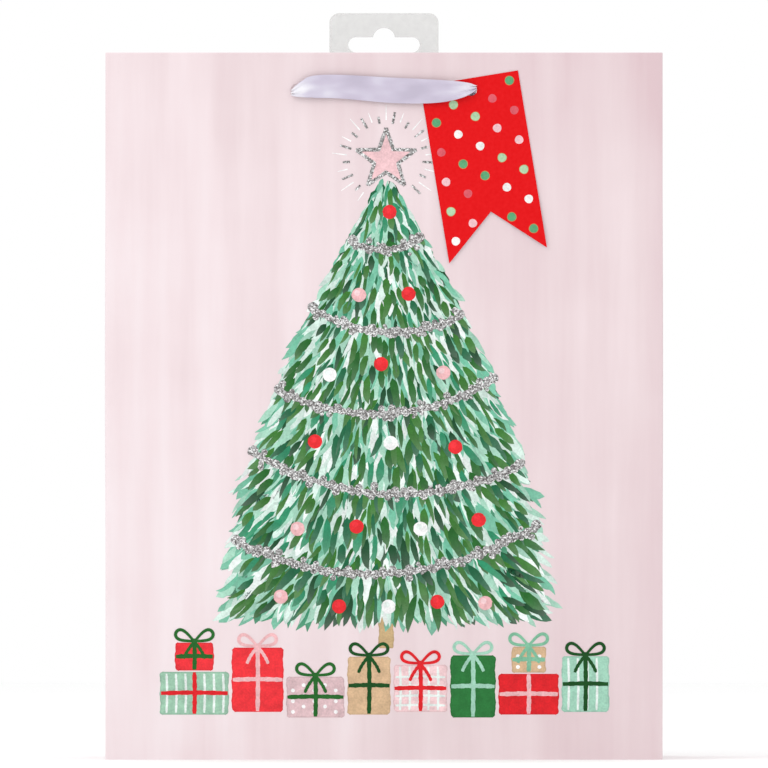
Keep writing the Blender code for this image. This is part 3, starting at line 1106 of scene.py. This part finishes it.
@dataclass
class Garlands:
    """Evenly spaced swags of glitter: a lumpy strand with beads of glue scattered along it."""

    tree: PaintedTree
    count: int = 5
    top: float = 240.0
    step: float = 36.0

    def swag(self, index: int) -> np.ndarray:
        """A sagging arc from edge to edge of the tree, tipped a little one way and then the other."""
        height = self.top - self.step * index
        half = 0.98 * self.tree.half_width(height + 8)
        share = np.linspace(-1, 1, 9)
        rise = 0.26 * (share**2 - 0.5) + 0.05 * (-1) ** index * share
        return np.stack([self.tree.axis + half * share, height + half * rise], axis=1)

    def paint(self, glue: Printing) -> None:
        """Lays the swags on the tree."""
        rng = glue.random
        for index in range(self.count):
            path = smooth_path(self.swag(index), 16)
            run = np.linalg.norm(np.diff(path, axis=0), axis=1).sum()
            path = resample(path, int(run / 1.1))
            count = len(path)
            half = 1.25 + 0.35 * np.sin(np.arange(count) * 1.9) + rng.uniform(0, 0.4, count)
            glue.strokes(path[None], half[None], tint(Tint.WHITE), 0.150)
            beads = resample(path, int(run / 1.3))
            drift = rng.normal(0, 1.45, beads.shape)
            size = rng.uniform(0.8, 1.9, len(beads))
            levels = 0.154 + 0.004 * (np.arange(len(beads)) % 9)
            glue.discs(beads + drift, size, tint(*[Tint.WHITE] * len(beads)), levels)
            glue.discs(path[[0, -1]] + [0, 1.0], 2.4, tint(Tint.WHITE, Tint.WHITE), 0.146)


@dataclass
class TreeStar:
    """A regular five-pointed star with a glitter edge, glitter rays and thin white rays between them."""

    tree: PaintedTree
    rise: float = 10.0
    reach: float = 14.5
    inner: float = 5.8
    rays: int = 14
    ray_near: float = 17.0
    ray_far: float = 22.5
    ray_short: float = 2.2

    def paint(self, ink: Printing, glue: Printing) -> None:
        """Fills the star with a kite for each point, then edges it and adds the rays."""
        middle = np.array([self.tree.axis, self.tree.top + self.rise])
        turn = math.pi / 2 - TAU / 10 * np.arange(10)
        radius = np.tile([self.reach, self.inner], 5)
        corner = middle + radius[:, None] * np.stack([np.cos(turn), np.sin(turn)], axis=1)
        tip, hollow = corner[0::2], corner[1::2]
        before = np.roll(hollow, 1, axis=0)
        left, right = (
            np.stack([middle + (h - middle) * 0.01, h, tip + (h - tip) * 0.02], axis=1)
            for h in (before, hollow)
        )
        ink.bands(left, right, tint(*[Tint.STAR] * 5), 0.138)
        after = np.roll(corner, -1, axis=0)
        edges = corner[:, None] + (after - corner)[:, None] * np.linspace(-0.03, 1.03, 9)[None, :, None]
        halves = 0.72 + glue.random.uniform(0, 0.25, (10, 9))
        glue.strokes(edges, halves, tint(*[Tint.WHITE] * 10), 0.160 + 0.006 * (np.arange(10) % 2))
        angle, spacing = np.linspace(math.radians(-45), math.radians(225), self.rays, retstep=True)
        way = np.stack([np.cos(angle), np.sin(angle)], axis=1)[:, None]
        run = (self.ray_far - self.ray_near - self.ray_short * (np.arange(self.rays) % 2))[:, None, None]
        t = np.linspace(0, 1, 8)[None, :, None]
        halves = 0.40 + glue.random.uniform(0, 0.2, (self.rays, 8))
        glue.strokes(middle + way * (self.ray_near + run * t), halves, tint(*[Tint.WHITE] * self.rays), 0.140)
        lean = angle + spacing / 2
        thin = np.stack([np.cos(lean), np.sin(lean)], axis=1)[:, None]
        lines = middle + thin * (self.ray_near + 1.5 + (run + 1.5) * t)
        ink.strokes(lines, np.linspace(0.34, 0.12, 8)[None], tint(*[Tint.WHITE] * self.rays), 0.010)


@dataclass
class Baubles:
    """Round ornaments in rows between the swags, each with a paler dab of paint."""

    tree: PaintedTree
    rows: tuple[int, ...] = (1, 2, 3, 3, 4, 5)
    top: float = 254.0
    step: float = 36.0
    radius: float = 3.3

    def paint(self, ink: Printing) -> None:
        """Spreads each row over the tree's width, with its colours by turns, and dabs each bauble."""
        places = []
        for row, count in enumerate(self.rows):
            height = self.top - self.step * row
            share = (2 * np.arange(count) + 1) / count - 1
            across = self.tree.axis + 0.80 * self.tree.half_width(height) * share
            places.append(np.stack([across, np.full(count, height)], axis=1))
        centres = np.concatenate(places)
        centres += ink.random.uniform(-2.6, 2.6, centres.shape)
        red = (Tint.RED, Tint.WATER_RED)
        turns = (red, (Tint.PINK, Tint.ROSE), red, (Tint.WHITE, Tint.FROST))
        pairs = [turns[i % 4] for i in range(len(centres))]
        ink.discs(centres, self.radius, tint(*[colour for colour, _ in pairs]), 0.196)
        ink.discs(centres + [-0.8, 0.9], self.radius * 0.42, tint(*[dab for _, dab in pairs]), 0.202)


class Wrap(Enum):
    """How a parcel's paper is printed."""

    PLAIN = 0
    STRIPED = 1
    CHECKED = 2
    DOTTED = 3


@dataclass(frozen=True)
class Parcel:
    """A parcel's width and height in millimetres, its paper and its ribbon."""

    width: float
    height: float
    wrap: Wrap
    paper: Tint
    ribbon: Tint


@dataclass
class Parcels:
    """A row of wrapped parcels under the tree, side by side, with a small one on top of two of them."""

    left: float = -104.5
    foot: float = 21.0
    space: float = 1.5
    row: tuple[Parcel, ...] = (
        Parcel(32, 20, Wrap.STRIPED, Tint.SAGE, Tint.CHERRY),
        Parcel(24, 30, Wrap.PLAIN, Tint.WATER_RED, Tint.PINK),
        Parcel(27, 19, Wrap.DOTTED, Tint.BLUSH, Tint.FOREST),
        Parcel(20, 27, Wrap.PLAIN, Tint.KRAFT, Tint.BOTTLE),
        Parcel(25, 22, Wrap.CHECKED, Tint.ROSE, Tint.CHERRY),
        Parcel(21, 29, Wrap.PLAIN, Tint.PARCEL_GREEN, Tint.MINT),
        Parcel(28, 19, Wrap.PLAIN, Tint.CHERRY, Tint.PINK),
        Parcel(22, 26, Wrap.STRIPED, Tint.MINT, Tint.BOTTLE),
    )
    on_top: tuple[tuple[int, Parcel], ...] = (
        (0, Parcel(18, 13, Wrap.PLAIN, Tint.WATER_RED, Tint.FOREST)),
        (6, Parcel(16, 12, Wrap.DOTTED, Tint.KRAFT, Tint.LEAF_MINT)),
    )

    def paint(self, ink: Printing) -> None:
        """Lays out the row from the left, and then the parcels on top of it."""
        left = self.left
        tops = []
        covered = [below for below, _ in self.on_top]
        for index, parcel in enumerate(self.row):
            foot = self.foot + 1.5 * math.sin(2.1 * index)
            self.wrap(ink, parcel, left, foot, index not in covered)
            tops.append((left + parcel.width / 2, foot + parcel.height + 0.6))
            left += parcel.width + self.space
        for below, parcel in self.on_top:
            middle, top = tops[below]
            self.wrap(ink, parcel, middle - parcel.width / 2, top, True)

    def wrap(self, ink: Printing, parcel: Parcel, left: float, foot: float, with_bow: bool) -> None:
        """Paints one parcel: its paper, its print, a crossed ribbon and a bow. Each lies on its own level."""
        right, top = left + parcel.width, foot + parcel.height
        middle, waist = (left + right) / 2, (foot + top) / 2
        ink.block((left, foot, right, top), parcel.paper, 0.05)
        if parcel.wrap in (Wrap.STRIPED, Wrap.CHECKED):
            for x in np.arange(left + 3, right - 2, 4.4):
                ink.line([(x, foot + 0.9), (x + 0.3, waist), (x, top - 0.9)], 1.1, Tint.FROST, 0.066)
        if parcel.wrap is Wrap.CHECKED:
            for z in np.arange(foot + 3, top - 2, 4.4):
                ink.line([(left + 0.9, z), (middle, z + 0.3), (right - 0.9, z)], 1.1, Tint.FROST, 0.080)
        if parcel.wrap is Wrap.DOTTED:
            across, up = np.meshgrid(np.arange(left + 3, right - 2, 5.0), np.arange(foot + 2.6, top - 4, 5.0))
            spots = np.stack([across, up + 2.5 * (np.arange(across.shape[1]) % 2)], axis=2).reshape(-1, 2)
            ink.discs(spots, 0.9, tint(Tint.WHITE), 0.070)
        upright = [(middle, foot + 0.4), (middle + 0.2, waist), (middle, top - 0.2)]
        level = [(left + 0.4, waist), (middle, waist + 0.3), (right - 0.4, waist)]
        ink.line(upright, 2.0, parcel.ribbon, 0.095)
        ink.line(level, 2.0, parcel.ribbon, 0.110)
        if with_bow:
            knot = (middle, top + 0.6)
            for way, height in ((-1, 0.125), (1, 0.138)):
                tail = [knot, (middle + way * 3.3, top - 4.0), (middle + way * 5.0, top - 7.5)]
                ink.line(tail, 1.5, parcel.ribbon, height)
            ink.bow(knot, (26, 154), 9.5, 1.4, parcel.ribbon, 0.152, fat=0.24)


@dataclass
class Picture:
    """The whole printed picture, on the front and on the back."""

    ink: bpy.types.Material
    glitter: bpy.types.Material

    def build(self, sizes: BagSizes) -> None:
        """Paints both walls. The back's picture parts at its level crease."""
        tree = PaintedTree()
        leaves = Printing(11)
        tree.paint(leaves)
        parcels = Printing(3)
        Parcels().paint(parcels)
        ornaments = Printing(5)
        glue = Printing(23)
        Garlands(tree).paint(glue)
        TreeStar(tree).paint(ornaments, glue)
        Baubles(tree).paint(ornaments)
        front, back = Wall(sizes, FRONT), Wall(sizes, BACK)
        above = sizes.half_depth + sizes.gap / 2
        below = sizes.half_depth - sizes.gap / 2
        layers = (
            ("tree", leaves, self.ink),
            ("parcels", parcels, self.ink),
            ("glitter", glue, self.glitter),
            ("ornaments", ornaments, self.ink),
        )
        for name, layer, finish in layers:
            upright = (
                (f"front_{name}", front, "front_panel", 0.0, sizes.height),
                (f"back_{name}", back, "back_panel", above, sizes.height),
            )
            for word, wall, body, low, high in upright:
                piece = layer.build(word, wall, finish, low, high)
                if piece is not None:
                    settle(piece, body, "printed_paper")
            folding = layer.build(f"back_{name}_lower", back, finish, 0.0, below)
            if folding is not None:
                settle(folding, "base", "printed_paper")
                flatten(folding)


# Handles, tag and tab ---------------------------------------------------------------------


@dataclass
class Handle:
    """A satin ribbon: tails inside the bag, pinched through its holes, and a run across the wall.

    The route's columns are the share of the half span between the holes, millimetres out from
    the wall's face and above the hole, the share of full width, and the width's turn in degrees.
    """

    sizes: BagSizes
    satin: bpy.types.Material
    word: str
    side: int
    width: float = 12.7 * MM
    thickness: float = 0.22 * MM
    tail: tuple = (
        (-1.0, -2.7, -134.5, 1.0, 0),
        (-1.0, -2.9, -105.0, 1.0, 0),
        (-1.0, -2.8, -70.0, 1.0, 0),
        (-1.0, -2.8, -35.0, 0.99, 0),
        (-1.0, -3.0, -14.0, 0.72, 0),
        (-1.0, -3.0, -5.5, 0.38, 0),
        (-1.0, -2.1, -1.0, 0.34, 0),
        (-1.0, -0.6, 0.0, 0.36, 50),
    )
    run: tuple = (
        (-1.015, 0.7, -0.6, 0.32, 90),
        (-1.050, 1.7, -1.1, 0.22, 90),
        (-1.020, 2.6, -0.9, 0.36, 90),
        (-0.90, 2.8, 0.5, 0.66, 90),
        (-0.79, 2.6, 1.5, 0.82, 90),
        (-0.49, 2.2, 1.5, 0.87, 90),
        (0.07, 2.0, -0.1, 0.93, 90),
        (0.44, 2.1, -0.6, 0.90, 90),
        (0.70, 2.4, -0.5, 0.79, 90),
        (0.88, 2.8, 0.1, 0.60, 90),
        (1.000, 2.6, 0.8, 0.36, 90),
        (1.045, 1.7, 1.1, 0.18, 90),
        (1.015, 0.7, 0.6, 0.32, 90),
    )

    def stations(self) -> tuple[np.ndarray, np.ndarray, np.ndarray]:
        """The route: centres, half widths and the direction of the width at each station."""
        left = [list(p) for p in self.tail]
        right = [[-p[0], p[1], p[2], p[3], 180 - p[4]] for p in reversed(self.tail)]
        route = smooth_path(np.array(left + [list(p) for p in self.run] + right), 10)
        share, out, rise, wide, turn = route.T
        flip = 1 if self.side == FRONT else -1
        x = flip * share * self.sizes.hole_x
        y = self.side * (self.sizes.half_depth + out * MM)
        centre = np.stack([x, y, self.sizes.hole_z + rise * MM], axis=1)
        angle = np.radians(turn)
        across = np.stack([flip * np.cos(angle), 0 * angle, np.sin(angle)], axis=1)
        return centre, wide * self.width / 2, across

    def build(self) -> None:
        centre, half, across = self.stations()
        along = np.gradient(centre, axis=0)
        along /= np.linalg.norm(along, axis=1, keepdims=True)
        across -= along * (across * along).sum(axis=1, keepdims=True)
        across /= np.linalg.norm(across, axis=1, keepdims=True)
        normal = np.cross(along, across)
        s = np.linspace(-1, 1, 25)
        run = np.concatenate([[0], np.cumsum(np.linalg.norm(np.diff(centre, axis=0), axis=1))])
        squeeze = np.clip(1 - half / (self.width / 2), 0, 1)[:, None]
        inside = np.abs(np.abs(centre[:, 1]) - self.sizes.half_depth)[:, None] / (2 * MM)
        pleat = squeeze**1.5 * (0.8 + 0.9 * np.exp(-(inside**2))) * MM * np.cos(2.5 * math.pi * s + 0.4)
        crease = 0.25 * MM * np.exp(-(((s - 0.25) / 0.16) ** 2)) * np.clip(squeeze * 3, 0, 1)
        wave = 0.12 * MM * np.sin(run[:, None] * 150 + 1.6 * s) * (1 - squeeze)
        cup = 0.35 * MM * (s**2) * (1 - squeeze) * np.sin(run[:, None] * 35)
        lift = pleat + crease + wave + cup
        flat = across[:, None] * (half[:, None] * s)[..., None]
        middle = centre[:, None] + flat + normal[:, None] * lift[..., None]
        face = grid_normals(middle)
        outer = middle + face * self.thickness / 2
        inner = middle - face * self.thickness / 2
        chart = np.stack(np.broadcast_arrays(s * self.width / 2, run[:, None]), axis=-1)
        ribbon = sheet_piece(f"{self.word}_ribbon", outer, inner, [self.satin], chart)
        body = f"{self.word}_panel"
        settle(ribbon, body, "satin_ribbon", f"{self.word}_handle_ribbon")
        knots = [self.knot(name, end) for name, end in (("left", centre[0]), ("right", centre[-1]))]

    def knot(self, name: str, end: np.ndarray) -> bpy.types.Object:
        """An overhand knot pulled flat, with a short cut end below it.

        The knot is a three-lobed loop: its radius and depth follow sines of three turns over two.
        """
        which = name if self.side == FRONT else {"left": "right", "right": "left"}[name]
        node = f"{self.word}_{which}_knot"
        t = np.linspace(0, TAU, 97)[:-1]
        lobes = [np.sin(t) + 2 * np.sin(2 * t), -np.sin(3 * t), np.cos(t) - 2 * np.cos(2 * t)]
        loop = np.stack(lobes, axis=1)
        low, high = (np.array(v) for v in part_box(node))
        fit = np.array([0.36, 0.26, 0.34])
        loop = loop / np.array([2.6, 1.0, 3.0]) * (high - low) * fit + (low + high) / 2
        along = np.roll(loop, -1, axis=0) - np.roll(loop, 1, axis=0)
        along /= np.linalg.norm(along, axis=1, keepdims=True)
        flat = np.cross(along, np.array([0.0, 1.0, 0.0]))
        flat /= np.maximum(np.linalg.norm(flat, axis=1, keepdims=True), 1e-9)
        depth = np.cross(along, flat)
        turn = np.linspace(0, TAU, 13)[:-1]
        ring = (
            loop[:, None]
            + flat[:, None] * (1.25 * MM * np.cos(turn))[None, :, None]
            + depth[:, None] * (0.62 * MM * np.sin(turn))[None, :, None]
        )
        number = np.arange(96 * 12).reshape(96, 12)
        sides = (number, np.roll(number, -1, axis=1))
        quads = np.stack(
            [sides[0], sides[1], np.roll(sides[1], -1, axis=0), np.roll(sides[0], -1, axis=0)], axis=2
        ).reshape(-1, 4)
        chart = np.stack(np.broadcast_arrays(turn[None, :] * MM, t[:, None] * 4 * MM), axis=-1)
        knot = new_piece(f"{node}_tied", ring, quads.tolist(), [self.satin], chart=chart)
        settle(knot, f"{self.word}_panel", "satin_ribbon", node)
        self.cut_end(f"{node}_end", (low + high) / 2, low[2])
        return knot

    def cut_end(self, name: str, centre: np.ndarray, bottom: float) -> None:
        """The slanting cut end that hangs out of a knot."""
        s = np.linspace(-1, 1, 9)[None, :]
        down = np.linspace(0, 1, 14)[:, None]
        wide = (2.0 + 3.2 * down**0.7) * MM
        length = (11 + 2.2 * s) * MM
        x = centre[0] + wide * s
        y = centre[1] + 0.35 * MM * np.cos(2 * math.pi * s) * (1 - down)
        z = bottom + 1.5 * MM - length * down
        middle = np.stack(np.broadcast_arrays(x, y, z), axis=-1)
        face = grid_normals(middle) * self.thickness / 2
        chart = np.stack(np.broadcast_arrays(s * self.width / 2, down * length), axis=-1)
        end = sheet_piece(name, middle + face, middle - face, [self.satin], chart)
        settle(end, f"{self.word}_panel", "satin_ribbon")


@dataclass
class GiftTag:
    """The swallow-tailed tag: printed card that lifts a little at its tails, with rows of dots."""

    sizes: BagSizes
    red: bpy.types.Material
    bare: bpy.types.Material
    ink: bpy.types.Material
    width: float = 46.2 * MM
    length: float = 83.8 * MM
    notch: float = 20.8 * MM
    hole_drop: float = 5.5 * MM
    hole_radius: float = 2.75 * MM
    thickness: float = 0.35 * MM
    tilt_degrees: float = 9.3
    tail_lift: float = 1.5 * MM
    dot_radius: float = 2.0 * MM
    dot_across: float = 9.2 * MM
    dot_step: float = 14.0 * MM

    def place(self, a: np.ndarray, b: np.ndarray, level: np.ndarray | float) -> np.ndarray:
        """Points over the tag's back: a to the right and b up from its hole, before its tilt.

        It lifts away from the wall with the square of the distance below its middle.
        """
        a, b, level = np.broadcast_arrays(a, b, level)
        fall = np.clip((-b - 0.02) / (self.length - 0.02), 0, 1)
        lift = self.tail_lift * fall**2 * (0.8 + 0.2 * a / (self.width / 2))
        turn = math.radians(self.tilt_degrees)
        x = self.sizes.hole_x + a * math.cos(turn) - b * math.sin(turn)
        z = self.sizes.hole_z + a * math.sin(turn) + b * math.cos(turn)
        return np.stack([x, -(self.sizes.half_depth + self.sizes.gap + lift + level), z], axis=-1)

    def build(self) -> None:
        """Makes the card and its dots."""
        a = np.linspace(-self.width / 2, self.width / 2, 41)[None, :]
        low = self.hole_drop - self.length + self.notch * (1 - np.abs(a) / (self.width / 2))
        b = self.hole_drop + (low - self.hole_drop) * np.linspace(0, 1, 61)[:, None]
        card = sheet_piece(
            "swing_tag", self.place(a, b, self.thickness), self.place(a, b, 0.0), [self.red, self.bare]
        )
        punch(card, [(self.sizes.hole_x, -self.sizes.half_depth, self.sizes.hole_z)], self.hole_radius)
        settle(card, "gift_tag", "red_card", "gift_tag")
        self.dots()

    def dots(self) -> None:
        """Prints five even columns of dots, every other column half a step lower, with colours by turns."""
        shades = np.array([linear(ink) for ink in ("#F8C9CE", "#F6F3F0", "#E2606B", "#B4D7AE", "#5FA878")])
        column, row = (v.ravel() for v in np.meshgrid(np.arange(-2, 3), np.arange(6)))
        a = self.dot_across * column
        b = self.hole_drop - 4.0 * MM - self.dot_step * (row + 0.5 * (column % 2))
        low = self.hole_drop - self.length + self.notch * (1 - np.abs(a) / (self.width / 2))
        room = self.dot_radius + 1.0 * MM
        kept = (b > low + room) & (np.hypot(a, b) > self.hole_radius + room)
        centre = np.stack([a, b], axis=1)[kept]
        turns = (2 * column + 3 * row)[kept] % 5
        rimmed = turns > 2
        rim_shades = np.broadcast_to(linear("#C98A55"), (rimmed.sum(), 3))
        self.print_discs("tag_dot_rims", centre[rimmed], self.dot_radius * 1.12, rim_shades, 0.02 * MM)
        self.print_discs("tag_dots", centre, self.dot_radius, shades[turns], 0.035 * MM)

    def print_discs(
        self, name: str, centre: np.ndarray, radius: float, shades: np.ndarray, level: float
    ) -> None:
        """Thin round prints on the card's face, trimmed at its sides.

        Each is a thin prism: its edge on top as one face, the same edge on the card as another, and walls
        between.
        """
        count = len(centre)
        turn = np.linspace(0, TAU, 25)[:-1]
        uneven = 1 + 0.03 * np.sin(3 * turn[None, :] + 1.7 * np.arange(count)[:, None])
        edge_a = centre[:, None, 0] + radius * uneven * np.cos(turn)
        edge_b = centre[:, None, 1] + radius * uneven * np.sin(turn)
        edge_a = np.clip(edge_a, -self.width / 2 + 0.00005, self.width / 2 - 0.00005)
        top = self.place(edge_a, edge_b, self.thickness + level)
        low = self.place(edge_a, edge_b, self.thickness + 0.004 * MM)
        points = np.concatenate([top, low], axis=1)
        size = 48
        k = np.arange(24)
        after = (k + 1) % 24
        sides = np.stack([k, after, after + 24, k + 24], axis=1)
        faces: list[list[int]] = []
        for i in range(count):
            shift = i * size
            faces.append((k + shift).tolist())
            faces.append((k[::-1] + 24 + shift).tolist())
            faces.extend((sides + shift).tolist())
        shade = np.repeat(shades[:, None], size, axis=1)
        piece = new_piece(name, points, faces, [self.ink], ink=shade)
        settle(piece, "gift_tag", "red_card")


def dress_plain_parts(nodes: dict[str, bpy.types.Object], finishes: dict[str, bpy.types.Material]) -> None:
    """Gives the parts that keep their shape their real finish.

    Args:
        nodes: the frame's objects by name.
        finishes: the finish for each part.
    """
    for name, finish in finishes.items():
        part = nodes[name]
        for slot in part.material_slots:
            slot.material = finish
        LOG.info("%s keeps its shape and gets %s", name, finish.name)


# The studio -------------------------------------------------------------------------------


@dataclass
class Studio:
    """A white floor under a white sky, soft lights and a long lens in front of the bag."""

    distance: float = 12.0
    lens_mm: float = 1199.0
    eye_height: float = 0.1753

    def build(self) -> None:
        """Makes the camera, the floor and the lights."""
        lens = bpy.data.cameras.new("camera")
        lens.type = "PERSP"
        lens.lens = self.lens_mm
        lens.sensor_width = 36
        lens.clip_end = 100
        camera = bpy.data.objects.new("camera", lens)
        camera.location = (0, -self.distance, self.eye_height)
        camera.rotation_euler = (math.pi / 2, 0, 0)
        bpy.context.scene.collection.objects.link(camera)
        bpy.context.scene.camera = camera
        self.floor()
        self.light("key", (-1.9, -2.3, 2.2), 1.8, 24)
        self.light("fill", (1.2, -2.6, 0.5), 2.0, 6)
        self.light("top", (0.0, 0.4, 2.8), 2.0, 10)
        world = bpy.data.worlds.new("studio")
        world.use_nodes = True
        world.node_tree.nodes["Background"].inputs["Color"].default_value = (1, 1, 1, 1)
        world.node_tree.nodes["Background"].inputs["Strength"].default_value = 1.0
        bpy.context.scene.world = world
        bpy.context.scene.view_settings.view_transform = "Standard"

    def floor(self) -> None:
        """A white floor, three metres to each side."""
        grid = np.array([[[x, y, 0.0] for x in (-3.0, 3.0)] for y in (-3.0, 3.0)])
        mesh = bpy.data.meshes.new("floor")
        mesh.from_pydata(grid.reshape(-1, 3).tolist(), [], grid_faces(2, 2).tolist())
        paint = Finish("white_floor", roughness=0.9).build()
        paint.node_tree.nodes["Principled BSDF"].inputs["Base Color"].default_value = (0.93, 0.93, 0.93, 1)
        mesh.materials.append(paint)
        floor = bpy.data.objects.new("floor", mesh)
        bpy.context.scene.collection.objects.link(floor)

    def light(self, name: str, place: tuple[float, float, float], size: float, watts: float) -> None:
        """A square soft light that faces the bag."""
        lamp = bpy.data.lights.new(name, "AREA")
        lamp.shape = "SQUARE"
        lamp.size = size
        lamp.energy = watts
        lamp_object = bpy.data.objects.new(name, lamp)
        lamp_object.location = place
        aim = np.array([0, 0, 0.17]) - np.array(place)
        lamp_object.rotation_euler = (
            math.atan2(math.hypot(aim[0], aim[1]), -aim[2]),
            0,
            math.atan2(-aim[0], aim[1]),
        )
        bpy.context.scene.collection.objects.link(lamp_object)


def main() -> None:
    """Loads the frame, dresses every piece and sets the studio."""
    logging.basicConfig(level=logging.INFO, format="%(name)s: %(message)s")
    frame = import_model()
    Studio().build()
    printed = PrintedPaper().build()
    bare = BarePaper().build()
    board = GreyBoard().build()
    satin = Satin().build()
    ink = WaterInk().build()
    glitter = Glitter().build()
    sizes = BagSizes.read()
    LOG.info("sizes read from the frame: %s", sizes)
    PaperShell(sizes, printed, bare).build()
    Picture(ink, glitter).build(sizes)
    Handle(sizes, satin, "front", FRONT).build()
    Handle(sizes, satin, "back", BACK).build()
    GiftTag(sizes, TagCard().build(), bare, ink).build()
    film = ClearFilm().build()
    glue = ClearFilm("adhesive_film", roughness=0.35, clearness=0.75).build()
    finishes = {
        board: ("front_stiffener_card", "back_stiffener_card", "base_board"),
        printed: ("bottom_rear_flap", "bottom_front_flap"),
        bare: ("left_dust_flap", "right_dust_flap", "side_glue_flap"),
        film: ("hang_tab",),
        glue: ("hang_tab_adhesive",),
    }
    named = {node: finish for finish, nodes in finishes.items() for node in nodes}
    dress_plain_parts(frame["nodes"], named)


if __name__ == "__main__":
    main()
